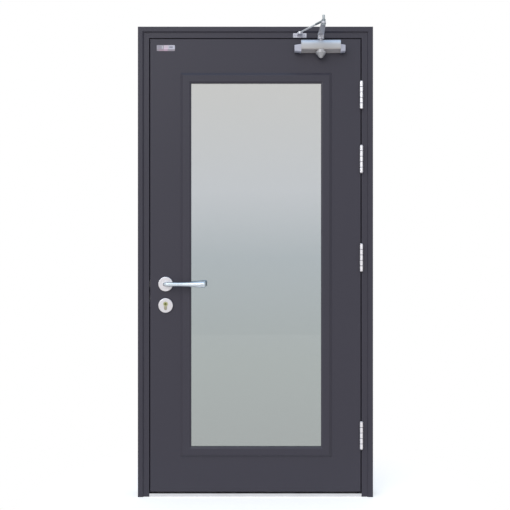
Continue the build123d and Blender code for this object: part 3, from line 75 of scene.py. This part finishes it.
class Shade:
    """A value or colour in a material. Arithmetic on it gives another, and node() makes any other kind."""

    def __init__(self, tree, socket=None):
        self.tree = tree
        self.socket = socket

    def node(self, kind, settings=None, inputs=None, output=0):
        """Add a node: its settings first, then the values or links of its sockets."""
        made = self.tree.nodes.new("ShaderNode" + kind)
        for name, value in (settings or {}).items():
            if name == "stops":
                ramp = made.color_ramp
                while len(ramp.elements) < len(value):
                    ramp.elements.new(1.0)
                for element, (position, colour) in zip(ramp.elements, value):
                    element.position = position
                    element.color = colour
            else:
                setattr(made, name, value)
        for name, value in (inputs or {}).items():
            if isinstance(value, Shade):
                self.tree.links.new(value.socket, made.inputs[name])
            else:
                made.inputs[name].default_value = value
        return Shade(self.tree, made.outputs[output] if made.outputs else None)

    def math(self, operation, *values, clamp=False):
        """Arithmetic on numbers or other shades."""
        settings = {"operation": operation, "use_clamp": clamp}
        return self.node("Math", settings, dict(enumerate(values)))

    def __add__(self, other):
        return self.math("ADD", self, other)

    __radd__ = __add__

    def __sub__(self, other):
        return self.math("SUBTRACT", self, other)

    def __rsub__(self, other):
        return self.math("SUBTRACT", other, self)

    def __mul__(self, other):
        return self.math("MULTIPLY", self, other)

    __rmul__ = __mul__

    def __truediv__(self, other):
        return self.math("DIVIDE", self, other)

    def __rtruediv__(self, other):
        return self.math("DIVIDE", other, self)

    def mix(self, low, high):
        """A colour between two others, by this shade."""
        inputs = {0: self, 6: low, 7: high}
        return self.node("Mix", {"data_type": "RGBA"}, inputs, output=2)

    def slope(self, start, end, before=0.0, after=1.0):
        """One value before a start, another after an end, and a soft slope between them."""
        settings = {"interpolation_type": "SMOOTHSTEP"}
        inputs = {"Value": self, "From Min": start, "From Max": end, "To Min": before, "To Max": after}
        return self.node("MapRange", settings, inputs)

    def between(self, low, high, soft):
        """1 where this shade lies between two values and 0 outside, with a soft border."""
        return self.slope(low - soft, low + soft) * self.slope(high - soft, high + soft, 1.0, 0.0)


def finish(name, build):
    """A material whose surface is what build makes from an empty tree."""
    material = bpy.data.materials.new(name)
    material.use_nodes = True
    material.node_tree.nodes.clear()
    first = Shade(material.node_tree)
    first.node("OutputMaterial", None, {"Surface": build(first)})
    return material


def place(first):
    """Place on the object, in metres."""
    return first.node("TexCoord", output="Object")


def rays(first, kind):
    """1 for rays of one kind and 0 for all others."""
    return first.node("LightPath", output=f"Is {kind} Ray")


def seen_directly(first):
    """1 for rays that show the surround itself: from the camera, off gloss or through glass."""
    seen_or_mirrored = rays(first, "Camera") + rays(first, "Glossy")
    return first.math("ADD", seen_or_mirrored, rays(first, "Transmission"), clamp=True)


def studio_floor(first):
    """Matt floor that keeps the door's shadow near it and is plain white further away."""
    matt = first.node("BsdfDiffuse", None, {"Color": FLOOR_COLOUR})
    seen = seen_directly(first)
    glow = first.node("Emission", None, {"Strength": seen * FLOOR_GLOW})
    shadowed = first.node("AddShader", None, {0: matt, 1: glow})
    in_metal = rays(first, "Glossy") * (1 - rays(first, "Transmission"))
    plain = first.node("Emission", None, {"Color": in_metal.mix(WHITE, FLOOR_IN_METAL)})
    white = first.node("MixShader", None, {"Fac": seen, 1: matt, 2: plain})
    from_door = first.node("VectorMath", {"operation": "LENGTH"}, {0: place(first)}, output="Value")
    away = from_door.slope(*FLOOR_SHADOW_REACH)
    return first.node("MixShader", None, {"Fac": away, 1: shadowed, 2: white})


def new_floor():
    """Flat sheet under the door and far behind it."""
    sheet = bpy.data.meshes.new("floor")
    corners = [
        (-FLOOR_HALF_WIDTH, FLOOR_NEAR, 0),
        (FLOOR_HALF_WIDTH, FLOOR_NEAR, 0),
        (FLOOR_HALF_WIDTH, FLOOR_FAR, 0),
        (-FLOOR_HALF_WIDTH, FLOOR_FAR, 0),
    ]
    sheet.from_pydata(corners, [], [(0, 1, 2, 3)])
    sheet.materials.append(finish("studio_floor", studio_floor))
    piece = bpy.data.objects.new("floor", sheet)
    bpy.context.collection.objects.link(piece)
    return piece


def sky(first):
    """White to the eye and through glass. As light and in metal, grey below, white ahead, blue above."""
    direction = first.node("TexCoord", output="Generated")
    up = first.node("SeparateXYZ", None, {"Vector": direction}, output="Z")
    tinted = first.node("ValToRGB", {"stops": SKY_STOPS}, {"Fac": up * 0.5 + 0.5})
    white = first.math("ADD", rays(first, "Camera"), rays(first, "Transmission"), clamp=True)
    strength = seen_directly(first) * (1 - SURROUND_LIGHT) + SURROUND_LIGHT
    return first.node("Background", None, {"Color": white.mix(tinted, WHITE), "Strength": strength})


def far_lamp(name, source, spread, strength, colour):
    """Distant soft lamp on the side of its source, as bright at the door's foot as at its top."""
    light = bpy.data.lights.new(name, "SUN")
    light.angle = radians(spread)
    light.energy = strength
    light.color = colour
    lamp = bpy.data.objects.new(name, light)
    lamp.rotation_euler = Vector(source).to_track_quat("Z", "Y").to_euler()
    bpy.context.collection.objects.link(lamp)


floor = new_floor()

surround = bpy.data.worlds.new("surround")
bpy.context.scene.world = surround
surround.use_nodes = True
surround.node_tree.nodes.clear()
start = Shade(surround.node_tree)
start.node("OutputWorld", None, {"Surface": sky(start)})

far_lamp("key_lamp", source=(-0.55, -1.0, 0.62), spread=40, strength=1.10, colour=(1, 0.99, 0.98))
far_lamp("top_lamp", source=(0.2, -0.7, 1.3), spread=50, strength=0.20, colour=(0.80, 0.90, 1))

camera_data = bpy.data.cameras.new("camera")
camera_data.lens = CAMERA_LENS
camera_data.sensor_width = SENSOR_WIDTH
camera = bpy.data.objects.new("camera", camera_data)
camera.location = CAMERA_PLACE
camera.rotation_euler = (radians(90), 0, 0)
bpy.context.collection.objects.link(camera)
bpy.context.scene.camera = camera
bpy.context.scene.view_settings.view_transform = "Standard"

# The frame: three lengths of folded sheet steel, welded at the mitres of the head,
# ground flush and powder coated in a dark blue-grey with a satin, slightly pebbled skin.

PAINT_COLOUR = (0.045, 0.040, 0.056, 1)
PAINT_SHADE = (0.039, 0.036, 0.050, 1)
PAINT_DRIFT = 1.7
PAINT_ROUGHNESS = 0.40
PAINT_SHEEN = 0.38
PEBBLE_FINENESS = 420.0
PEBBLE_HEIGHT = 0.00012
PEBBLE_ROUGHNESS = 0.10
EVEN = (1, 1, 1)


def grain(first, fineness, detail=2.0, stretch=EVEN):
    """Noise between about 0 and 1. It is drawn out along an axis whose stretch is under 1."""
    stretched = first.node("Mapping", None, {"Vector": place(first), "Scale": stretch})
    inputs = {"Vector": stretched, "Scale": fineness, "Detail": detail}
    return first.node("TexNoise", None, inputs)


def bump(first, height, distance=1.0, strength=0.5):
    """Normal of a surface that rises by a height times a distance, in metres."""
    return first.node("Bump", None, {"Height": height, "Distance": distance, "Strength": strength})


def door_paint(first):
    """Satin powder coat: fine orange peel and a faint drift in colour."""
    drift = grain(first, PAINT_DRIFT, detail=3.0)
    pebble = grain(first, PEBBLE_FINENESS, detail=3.0)
    skin = {
        "Base Color": drift.mix(PAINT_SHADE, PAINT_COLOUR),
        "Roughness": PAINT_ROUGHNESS + pebble * PEBBLE_ROUGHNESS,
        "Specular IOR Level": PAINT_SHEEN,
        "Normal": bump(first, pebble, PEBBLE_HEIGHT, strength=0.6),
    }
    return first.node("BsdfPrincipled", None, skin)


def dress(material, *names):
    """Give CAD nodes a material."""
    for name in names:
        data = nodes[name].data
        data.materials.clear()
        data.materials.append(material)


painted_steel = finish("painted_steel", door_paint)
dress(painted_steel, "frame_head", "frame_hinge_jamb", "frame_lock_jamb")

# The threshold: one hollow length of extruded aluminium on the floor between the jambs,
# left in its satin mill finish. Its top has fine grooves from side to side,
# and the die left faint lines along it.

SILL_COLOUR = (0.73, 0.72, 0.73, 1)
SILL_LINES = (0.02, 1, 1)
SILL_GROOVE_PITCH = 0.0036
SILL_GROOVE_DEPTH = 0.0006
GROOVE_STEEPNESS = 2.0
GROOVE_ROUND = 0.4
LINE_FINENESS = 900.0
LINE_HEIGHT = 0.00004
LINE_ROUGHNESS = 0.14
CLOUD_FINENESS = 9.0
CLOUD_SHARE = 0.86


def shaded(colour, share):
    """The same colour at a share of its brightness."""
    return tuple(channel * share for channel in colour[:3]) + (1,)


def clouded(first, colour, share=CLOUD_SHARE):
    """A colour with soft clouds in which it is darker."""
    return grain(first, CLOUD_FINENESS).mix(shaded(colour, share), colour)


def metal_skin(first, colour, roughness, along=EVEN, fineness=LINE_FINENESS, relief=None, metal=1.0):
    """Bare metal with fine lines along one axis and, where it has one, a relief over them."""
    lines = grain(first, fineness, detail=4.0, stretch=along)
    height = lines * LINE_HEIGHT
    skin = {
        "Base Color": colour,
        "Metallic": metal,
        "Roughness": roughness + lines * LINE_ROUGHNESS,
        "Normal": bump(first, height if relief is None else height + relief(first)),
    }
    return first.node("BsdfPrincipled", None, skin)


def metal_finish(name, colour, **drawing):
    """A bare metal of one colour with soft clouds in it."""
    return finish(name, lambda first: metal_skin(first, clouded(first, colour), **drawing))


def spot(first, axis):
    """Place on the object along one axis, in metres."""
    return first.node("SeparateXYZ", None, {"Vector": place(first)}, output=axis)


def tread_grooves(first):
    """Fine grooves along the sill, side by side from front to back."""
    half = SILL_GROOVE_PITCH / 2
    ridge = first.math("PINGPONG", spot(first, "Y"), half) / half
    return first.math("SMOOTH_MIN", ridge * GROOVE_STEEPNESS, 1.0, GROOVE_ROUND) * SILL_GROOVE_DEPTH


mill_aluminium = metal_finish(
    "mill_aluminium", SILL_COLOUR, roughness=0.30, along=SILL_LINES, relief=tread_grooves
)
dress(mill_aluminium, "threshold")

# The seals: black extruded rubber, matt and a little dusty.
# One is pressed onto the frame's stop, and one lies on each side of the glass.

RUBBER_COLOUR = (0.018, 0.018, 0.020, 1)
DUST_COLOUR = (0.035, 0.035, 0.037, 1)
DUST_FINENESS = 60.0
DUST_ROUGHNESS = 0.2
RUBBER_ROUGHNESS = 0.62
PORE_FINENESS = 1500.0
PORE_DEPTH = 0.00005


def soft_rubber(first):
    """Matt rubber with a dusty bloom."""
    bloom = grain(first, DUST_FINENESS, detail=4.0)
    skin = {
        "Base Color": bloom.mix(RUBBER_COLOUR, DUST_COLOUR),
        "Roughness": RUBBER_ROUGHNESS + bloom * DUST_ROUGHNESS,
        "Normal": bump(first, grain(first, PORE_FINENESS), PORE_DEPTH),
    }
    return first.node("BsdfPrincipled", None, skin)


black_rubber = finish("black_rubber", soft_rubber)
dress(black_rubber, "frame_seal", "front_glazing_seal", "back_glazing_seal")

# The strike: a stainless plate let into the lock jamb and held by two countersunk screws.
# Behind it a folded, zinc-plated box keeps room for both bolts.

STAINLESS_COLOUR = (0.78, 0.79, 0.81, 1)
ZINC_COLOUR = (0.60, 0.62, 0.64, 1)
ZINC_FINENESS = 300.0
UPRIGHT_LINES = {"along": (1, 1, 0.03), "fineness": 1200.0}
SCREW_HEAD = 0.0045
SCREW_RIM = 0.0002
SCREW_SHANK = 0.0024
SCREW_POINT = 0.9
SCREW_SIDES = 28
SCREW_TURN = 1.1
SCREWS_APART = 0.010
CROSS_REACH = 0.0028
CROSS_WIDTH = 0.0011
CROSS_DEPTH = 0.0017
CROSS_FLOOR = 0.55


def ring(radius, height, sides=SCREW_SIDES):
    """Points of a level circle."""
    angles = [2 * pi * i / sides for i in range(sides)]
    return [Vector((radius * cos(angle), radius * sin(angle), height)) for angle in angles]


def ring_walls(count, sides, from_point=0):
    """Faces between a count of rings, whose points follow each other from one point on."""
    faces = []
    for low in range(from_point, from_point + (count - 1) * sides, sides):
        for i in range(sides):
            following = (i + 1) % sides
            faces.append((low + i, low + following, low + sides + following, low + sides + i))
    return faces


def cross_outline(scale, height):
    """The twelve corners of a cross slot."""
    reach = CROSS_REACH * scale
    half = CROSS_WIDTH * scale / 2
    corners = [Vector((reach, -half, height)), Vector((reach, half, height)), Vector((half, half, height))]
    turns = [Matrix.Rotation(quarter * pi / 2, 3, "Z") for quarter in range(4)]
    return [turn @ corner for turn in turns for corner in corners]


def crossed_screw(length):
    """Points and faces of one countersunk screw with a cross slot, its head level with z = 0."""
    rings = [
        ring(SCREW_HEAD - SCREW_RIM, 0),
        ring(SCREW_HEAD - SCREW_RIM / 4, -SCREW_RIM),
        ring(SCREW_SHANK, SCREW_SHANK - SCREW_HEAD),
        ring(SCREW_SHANK * SCREW_POINT, -length),
    ]
    slot = cross_outline(1, 0)
    slot_floor = cross_outline(CROSS_FLOOR, -CROSS_DEPTH)
    points = [point for level in rings for point in level] + slot + slot_floor
    slot_start = len(rings) * SCREW_SIDES
    floor_start = slot_start + len(slot)
    head = [*range(SCREW_SIDES), *range(slot_start, floor_start)]
    faces = ring_walls(len(rings), SCREW_SIDES)
    faces.append(tuple(range(slot_start - SCREW_SIDES, slot_start)))
    for corners in tessellate_polygon([rings[0], slot]):
        faces.append(tuple(head[corner] for corner in corners))
    faces += ring_walls(2, len(slot), slot_start)
    for corners in tessellate_polygon([slot_floor]):
        faces.append(tuple(floor_start + corner for corner in corners))
    return points, faces


def screw_seats(node, into):
    """Middle of each screw's head in a node, and the screws' length along the way they run in."""
    groups = []
    for vertex in nodes[node].data.vertices:
        flat = vertex.co - into * vertex.co.dot(into)
        for group in groups:
            if (flat - group[0]).length < SCREWS_APART:
                break
        else:
            group = [flat, []]
            groups.append(group)
        group[1].append(vertex.co)
    seats = []
    for _, corners in groups:
        low = Vector([min(corner[axis] for corner in corners) for axis in range(3)])
        high = Vector([max(corner[axis] for corner in corners) for axis in range(3)])
        middle = (low + high) / 2
        length = abs((high - low).dot(into))
        seats.append(middle - into * length / 2)
    return seats, length


def new_fastener(name, points, faces, material):
    """A small fastener made of points and faces."""
    shape = bmesh.new()
    corners = [shape.verts.new(point) for point in points]
    for face in faces:
        shape.faces.new([corners[corner] for corner in face])
    bmesh.ops.recalc_face_normals(shape, faces=shape.faces)
    data = bpy.data.meshes.new(name)
    shape.to_mesh(data)
    shape.free()
    data.materials.append(material)
    piece = bpy.data.objects.new(name, data)
    bpy.context.collection.objects.link(piece)
    return piece


def fit_screws(node, into, body, material):
    """Replace a node's plain screws with crossed ones, each turned to where it came tight."""
    into = Vector(into)
    seats, length = screw_seats(node, into)
    screw_points, screw_faces = crossed_screw(length)
    upright = Vector((0, 0, -1)).rotation_difference(into).to_matrix()
    points = []
    faces = []
    for number, seat in enumerate(seats):
        turn = Matrix.Rotation(SCREW_TURN * number, 3, "Z")
        faces += [[len(points) + corner for corner in face] for face in screw_faces]
        points += [seat + upright @ (turn @ point) for point in screw_points]
    piece = new_fastener(node + "_crossed", points, faces, material)
    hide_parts(node)
    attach(piece, body)


stainless = metal_finish("stainless", STAINLESS_COLOUR, roughness=0.24, **UPRIGHT_LINES)
zinc_plate = metal_finish("zinc_plate", ZINC_COLOUR, roughness=0.38, fineness=ZINC_FINENESS)
dress(stainless, "strike_plate")
dress(zinc_plate, "strike_box")
fit_screws("strike_screws", (-1, 0, 0), "frame", stainless)

# The hinges: four butt hinges of bright stainless steel, each with five knuckles on a fixed pin.
# Their plates are let into jamb and leaf, and four countersunk screws hold each plate.
# A thin dark line of painted shade marks each joint between two knuckles.

HINGE_COUNT = 4
KNUCKLE_COUNT = 5
KNUCKLE_BACK = -0.0535
JOINT_SHADE_WIDTH = (0.0008, 0.0018)
HINGE_COLOUR = (0.91, 0.90, 0.94, 1)
JOINT_PAINTED_SHADE = (0.34, 0.32, 0.37, 1)
HINGE_CLOUD_SHARE = 0.92
HINGE_ROUGHNESS = 0.34


def hinge_metal(first, low, high):
    """Drawn steel with a thin dark line of painted shade in the joints between the knuckles."""
    knuckle = (high.z - low.z) / KNUCKLE_COUNT
    from_joint = first.math("PINGPONG", spot(first, "Z") - low.z, knuckle / 2)
    # Painted shade: a thin dark band in each gap between two knuckles, on their front.
    in_joint_shade = from_joint.slope(*JOINT_SHADE_WIDTH, 1.0, 0.0)
    in_front = first.math("LESS_THAN", spot(first, "Y"), KNUCKLE_BACK)
    unshaded = clouded(first, HINGE_COLOUR, HINGE_CLOUD_SHARE)
    colour = (in_joint_shade * in_front).mix(unshaded, JOINT_PAINTED_SHADE)
    return metal_skin(first, colour, HINGE_ROUGHNESS, **UPRIGHT_LINES)


bright_steel = metal_finish("bright_steel", HINGE_COLOUR, roughness=HINGE_ROUGHNESS, **UPRIGHT_LINES)
for number in range(1, HINGE_COUNT + 1):
    plate = f"hinge_{number}_frame_leaf"
    skin_of_hinge = finish(f"hinge_{number}_steel", lambda first: hinge_metal(first, *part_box(plate)))
    dress(skin_of_hinge, plate, f"hinge_{number}_door_leaf")
dress(bright_steel, "hinge_pins")
fit_screws("hinge_frame_screws", (1, 0, 0), "frame", bright_steel)
fit_screws("hinge_door_screws", (-1, 0, 0), "leaf", bright_steel)

# The leaf: a front tray with folded edges and a back sheet on folded steel channels,
# painted as the frame is. Rails and stiles of pale core board fill it round the glass.

BOARD_COLOUR = (0.50, 0.44, 0.34, 1)
BOARD_LAYERS = (1, 1, 0.3)
BOARD_ROUGHNESS = 0.8
FIBRE_FINENESS = 500.0
FIBRE_HEIGHT = 0.0002
FIBRE_ROUGHNESS = 0.1


def core_board(first):
    """Pale pressed board, seen only at its cut edges."""
    fibre = grain(first, FIBRE_FINENESS, detail=5.0, stretch=BOARD_LAYERS)
    skin = {
        "Base Color": fibre.mix(shaded(BOARD_COLOUR, share=0.8), BOARD_COLOUR),
        "Roughness": BOARD_ROUGHNESS + fibre * FIBRE_ROUGHNESS,
        "Normal": bump(first, fibre, FIBRE_HEIGHT, strength=0.6),
    }
    return first.node("BsdfPrincipled", None, skin)


dress(painted_steel, "leaf_front_skin", "leaf_back_skin", "leaf_top_channel", "leaf_bottom_channel")
dress(finish("core_board", core_board), "leaf_core_boards")

# The glazing: one pane of grey-green glass between rubber strips.
# A welded frame holds it in front and four screwed beads at the back, all of painted steel.

# Grey-green tint of the glass with painted light in it: paler above and darker below, as the view through
# it would be.
GLASS_TINT_AND_PAINTED_LIGHT = [
    (0.0, (0.360, 0.390, 0.386, 1)),
    (0.24, (0.386, 0.426, 0.420, 1)),
    (0.52, (0.408, 0.454, 0.476, 1)),
    (0.70, (0.520, 0.545, 0.570, 1)),
    (1.0, (0.560, 0.562, 0.552, 1)),
]


def tinted_glass(first):
    """Thick grey-green float glass. Its colour also carries painted light: pale at the top and greyer,
    greener and darker towards the bottom, like a bright room and shaded floor seen through it.
    """
    low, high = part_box("glass_pane")
    height = (spot(first, "Z") - low.z) / (high.z - low.z)
    skin = {
        "Base Color": first.node("ValToRGB", {"stops": GLASS_TINT_AND_PAINTED_LIGHT}, {"Fac": height}),
        "Roughness": 0.02,
        "IOR": 1.5,
        "Transmission Weight": 1.0,
    }
    return first.node("BsdfPrincipled", None, skin)


dress(painted_steel, "front_glazing_frame")
for side in ("top", "right", "bottom", "left"):
    dress(painted_steel, f"back_bead_{side}")
fit_screws("glazing_screws", (0, -1, 0), "leaf", stainless)
dress(finish("tinted_glass", tinted_glass), "glass_pane")

# The lock: a zinc-plated mortise case in the leaf's edge, behind a stainless faceplate
# that two screws hold. Its spring latch and square deadbolt are nickel plated, and their dark
# grey is painted shade, for where they cross the gap between leaf and frame.

# Painted shade: the bolts are dark all over, like the shade in the gap they cross.
BOLT_PAINTED_SHADE = (0.33, 0.32, 0.31, 1)
BOLT_LINES = (1, 1, 0.1)
BOLT_FINENESS = 700.0
nickel_in_painted_shade = metal_finish(
    "nickel_in_painted_shade", BOLT_PAINTED_SHADE, roughness=0.34, along=BOLT_LINES, fineness=BOLT_FINENESS
)
dress(zinc_plate, "lock_case", "lock_follower", "lever_spindle")
dress(nickel_in_painted_shade, "latch_bolt", "dead_bolt")
dress(stainless, "lock_faceplate")
fit_screws("lock_screws", (1, 0, 0), "leaf", stainless)

# The levers and roses: stainless steel. Each lever is a round bar, bent and polished,
# on the square spindle through the lock. A satin rose covers each hole in the leaf's faces.

ROSE_COLOUR = (0.80, 0.79, 0.83, 1)
LEVER_COLOUR = (0.72, 0.78, 0.84, 1)
LEVER_LINES = (0.03, 1, 1)
satin_rose = metal_finish("satin_rose", ROSE_COLOUR, roughness=0.30)
polished_lever = metal_finish(
    "polished_lever", LEVER_COLOUR, roughness=0.25, along=LEVER_LINES, metal=0.72
)
dress(polished_lever, "front_lever", "back_lever")
dress(satin_rose, "front_lever_rose", "back_lever_rose", "front_cylinder_rose", "back_cylinder_rose")

# The cylinder: a keyhole-shaped brass body through the lock, with painted shade that greys its foot.
# A brass plug with a key slot turns in front, and a satin turn behind moves the deadbolt.

BRASS_COLOUR = (0.53, 0.54, 0.33, 1)
BRASS_FOOT_PAINTED_SHADE = (0.40, 0.38, 0.30, 1)
PLUG_COLOUR = (0.24, 0.26, 0.10, 1)
BRASS_BORDER = (0.885, 0.900)


def brass_by_height(first):
    """Brass with painted shade that turns it grey on the narrow foot of the cylinder's profile."""
    # Painted shade: the brass below the head turns grey.
    upper = spot(first, "Z").slope(*BRASS_BORDER)
    return metal_skin(first, upper.mix(BRASS_FOOT_PAINTED_SHADE, BRASS_COLOUR), roughness=0.30)


dress(finish("brass_with_painted_shade", brass_by_height), "cylinder_body")
dress(metal_finish("plug_brass", PLUG_COLOUR, roughness=0.34), "cylinder_plug")
dress(satin_rose, "thumbturn")

# The closer: a cast aluminium body in silver paint, with moulded end caps and a cone over the
# lower end of its spindle. A forged arm is held on the spindle by a socket screw and a washer.
# The forearm's socket turns on the elbow screw, and its rod ends on a foot screwed to the frame's head.

# Colours of the closer body by height, from its foot up, that paint light on the silver: a warm lit
# underside, a darker band, and a bluish sky reflection at the top.
CLOSER_PAINTED_LIGHT = [
    (0.0, (0.70, 0.63, 0.60, 1)),
    (0.12, (0.68, 0.62, 0.60, 1)),
    (0.22, (0.47, 0.45, 0.44, 1)),
    (0.55, (0.52, 0.52, 0.54, 1)),
    (0.80, (0.60, 0.65, 0.74, 1)),
]
CONE_COLOUR = (0.52, 0.51, 0.52, 1)
CAP_COLOUR = (0.54, 0.53, 0.61, 1)
ARM_COLOUR = (0.61, 0.60, 0.64, 1)
ROD_COLOUR = (0.84, 0.84, 0.86, 1)
SOCKET_COLOUR = (0.25, 0.28, 0.30, 1)
ELBOW_COLOUR = (0.42, 0.46, 0.48, 1)
FOOT_COLOUR = (0.58, 0.57, 0.63, 1)
FLAKE_FINENESS = 1800.0
FLAKE_HEIGHT = 0.00003
FLAKE_ROUGHNESS = 0.08
FLAKE_SHARE = 0.85
FLAKE_SCATTER = 0.04
WAVE_FINENESS = 55.0
WAVE_HEIGHT = 0.00012
SPINDLE_PROUD = 0.0005
WASHER_RADIUS = 0.0078
WASHER_THICK = 0.0010
HEAD_RADIUS = 0.0052
HEAD_HIGH = 0.0028
SOCKET_RADIUS = 0.0026
SOCKET_DEEP = 0.0016
HEAD_SIDES = 48


def paint_flake(first):
    """The light flake of a metallic paint."""
    return grain(first, FLAKE_FINENESS, detail=1.0)


def cast_skin(first, colour, flake, metal=0.30, roughness=0.34):
    """Fine metallic paint with the faint waves of the casting under it."""
    skin = {
        "Base Color": colour,
        "Metallic": metal,
        "Roughness": roughness + flake * FLAKE_ROUGHNESS,
        "Normal": bump(first, flake * FLAKE_HEIGHT + grain(first, WAVE_FINENESS) * WAVE_HEIGHT),
    }
    return first.node("BsdfPrincipled", None, skin)


def silver_paint(first, colour, **look):
    """Silver paint of one colour, darker between its flakes."""
    flake = paint_flake(first)
    return cast_skin(first, flake.mix(shaded(colour, FLAKE_SHARE), colour), flake, **look)


def closer_paint_with_painted_light(first):
    """Silver paint with painted light in its colour: a painted bluish reflection of the sky along the top
    edge, painted warm light from the floor on the underside, and a darker band between.
    """
    low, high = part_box("closer_body")
    height = (spot(first, "Z") - low.z) / (high.z - low.z)
    flake = paint_flake(first)
    # Painted light: the colour follows the height on the body.
    scattered = height + (flake - 0.5) * FLAKE_SCATTER
    tint = first.node("ValToRGB", {"stops": CLOSER_PAINTED_LIGHT}, {"Fac": scattered})
    return cast_skin(first, tint, flake)


def silver_finish(name, colour, **look):
    """A silver paint or a plain casting, less or more like bare metal."""
    return finish(name, lambda first: silver_paint(first, colour, **look))


def hexagon_ring(radius, height, sides):
    """Points of a level hexagon with rows of points along its flats."""
    corners = []
    for point in ring(1, 0, sides):
        angle = atan2(point.y, point.x) % (pi / 3) - pi / 6
        corners.append(point * radius * cos(pi / 6) / cos(angle) + Vector((0, 0, height)))
    return corners


def arm_screw(material):
    """Socket screw and washer that hold the main arm on the closer's spindle."""
    low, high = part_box("closer_spindle")
    foot = Vector(((low.x + high.x) / 2, (low.y + high.y) / 2, high.z - SPINDLE_PROUD))
    edge = WASHER_THICK / 4
    top = WASHER_THICK + HEAD_HIGH
    levels = [
        ring(WASHER_RADIUS, 0, HEAD_SIDES),
        ring(WASHER_RADIUS, WASHER_THICK - edge, HEAD_SIDES),
        ring(WASHER_RADIUS - edge, WASHER_THICK, HEAD_SIDES),
        ring(HEAD_RADIUS, WASHER_THICK, HEAD_SIDES),
        ring(HEAD_RADIUS, top - edge, HEAD_SIDES),
        ring(HEAD_RADIUS - edge * 2, top, HEAD_SIDES),
        hexagon_ring(SOCKET_RADIUS, top, HEAD_SIDES),
        hexagon_ring(SOCKET_RADIUS, top - SOCKET_DEEP, HEAD_SIDES),
    ]
    points = [foot + point for level in levels for point in level]
    faces = ring_walls(len(levels), HEAD_SIDES)
    faces.append(range(len(points) - HEAD_SIDES, len(points)))
    faces.append(range(HEAD_SIDES)[::-1])
    piece = new_fastener("closer_arm_screw", points, faces, material)
    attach(piece, "closer_arm")


dress(finish("silver_body", closer_paint_with_painted_light), "closer_body")
dress(silver_finish("silver_cone", CONE_COLOUR), "closer_spindle_cap")
dress(silver_finish("pale_plastic", CAP_COLOUR, metal=0.0), "closer_end_caps")
dress(silver_finish("arm_metal", ARM_COLOUR, metal=0.35), "closer_main_arm", "closer_spindle")
dress(silver_finish("rod_metal", ROD_COLOUR, roughness=0.26), "closer_forearm")
dress(silver_finish("socket_metal", SOCKET_COLOUR, metal=0.35), "closer_forearm_sleeve")
elbow_metal = silver_finish("elbow_metal", ELBOW_COLOUR, metal=0.45, roughness=0.26)
dress(elbow_metal, "elbow_screw")
foot_metal = silver_finish("foot_metal", FOOT_COLOUR, metal=0.35)
dress(foot_metal, "closer_foot")
fit_screws("closer_foot_screws", (0, 1, 0), "frame", foot_metal)
arm_screw(elbow_metal)

# The small plate near the top corner: a thin sheet stuck to the face of the leaf.
# It is pale, with plain fields of colour such as bars, a pink square and a grey block.

PLATE_COLOUR = (0.33, 0.29, 0.33, 1)
PLATE_FINENESS = 300.0
PLATE_ROUGHNESS = 0.30
SMEAR_FINENESS = 500.0
SMEAR_ROUGHNESS = 0.10
PLATE_FIELDS = [
    ((-0.10, 0.36), (0.34, 1.10), (0.37, 0.34, 0.39, 1)),
    ((0.64, 1.10), (0.30, 1.10), (0.57, 0.55, 0.63, 1)),
    ((0.38, 0.64), (0.30, 1.10), (0.62, 0.52, 0.59, 1)),
    ((0.38, 0.62), (0.28, 0.50), (0.70, 0.54, 0.65, 1)),
    ((0.12, 0.36), (-0.10, 0.30), (0.38, 0.27, 0.33, 1)),
    ((0.38, 0.60), (-0.10, 0.28), (0.48, 0.33, 0.42, 1)),
    ((0.10, 0.16), (0.38, 0.88), (0.30, 0.28, 0.34, 1)),
    ((0.22, 0.26), (0.38, 0.88), (0.28, 0.26, 0.32, 1)),
    ((0.28, 0.32), (0.34, 0.92), (0.62, 0.60, 0.66, 1)),
    ((0.69, 0.88), (0.54, 0.78), (0.25, 0.24, 0.30, 1)),
]
FIELD_SOFTNESS = 0.015


def printed_plate(first):
    """Pale sheet with soft-edged fields, each given by its columns, rows and colour."""
    low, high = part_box("rating_plate")
    across = (spot(first, "X") - low.x) / (high.x - low.x)
    up = (spot(first, "Z") - low.z) / (high.z - low.z)
    colour = grain(first, PLATE_FINENESS).mix(shaded(PLATE_COLOUR, share=0.9), PLATE_COLOUR)
    for columns, rows, field_colour in PLATE_FIELDS:
        field = across.between(*columns, FIELD_SOFTNESS) * up.between(*rows, FIELD_SOFTNESS * 2)
        colour = field.mix(colour, field_colour)
    roughness = PLATE_ROUGHNESS + grain(first, SMEAR_FINENESS) * SMEAR_ROUGHNESS
    return first.node("BsdfPrincipled", None, {"Base Color": colour, "Roughness": roughness})


dress(finish("printed_plate", printed_plate), "rating_plate")
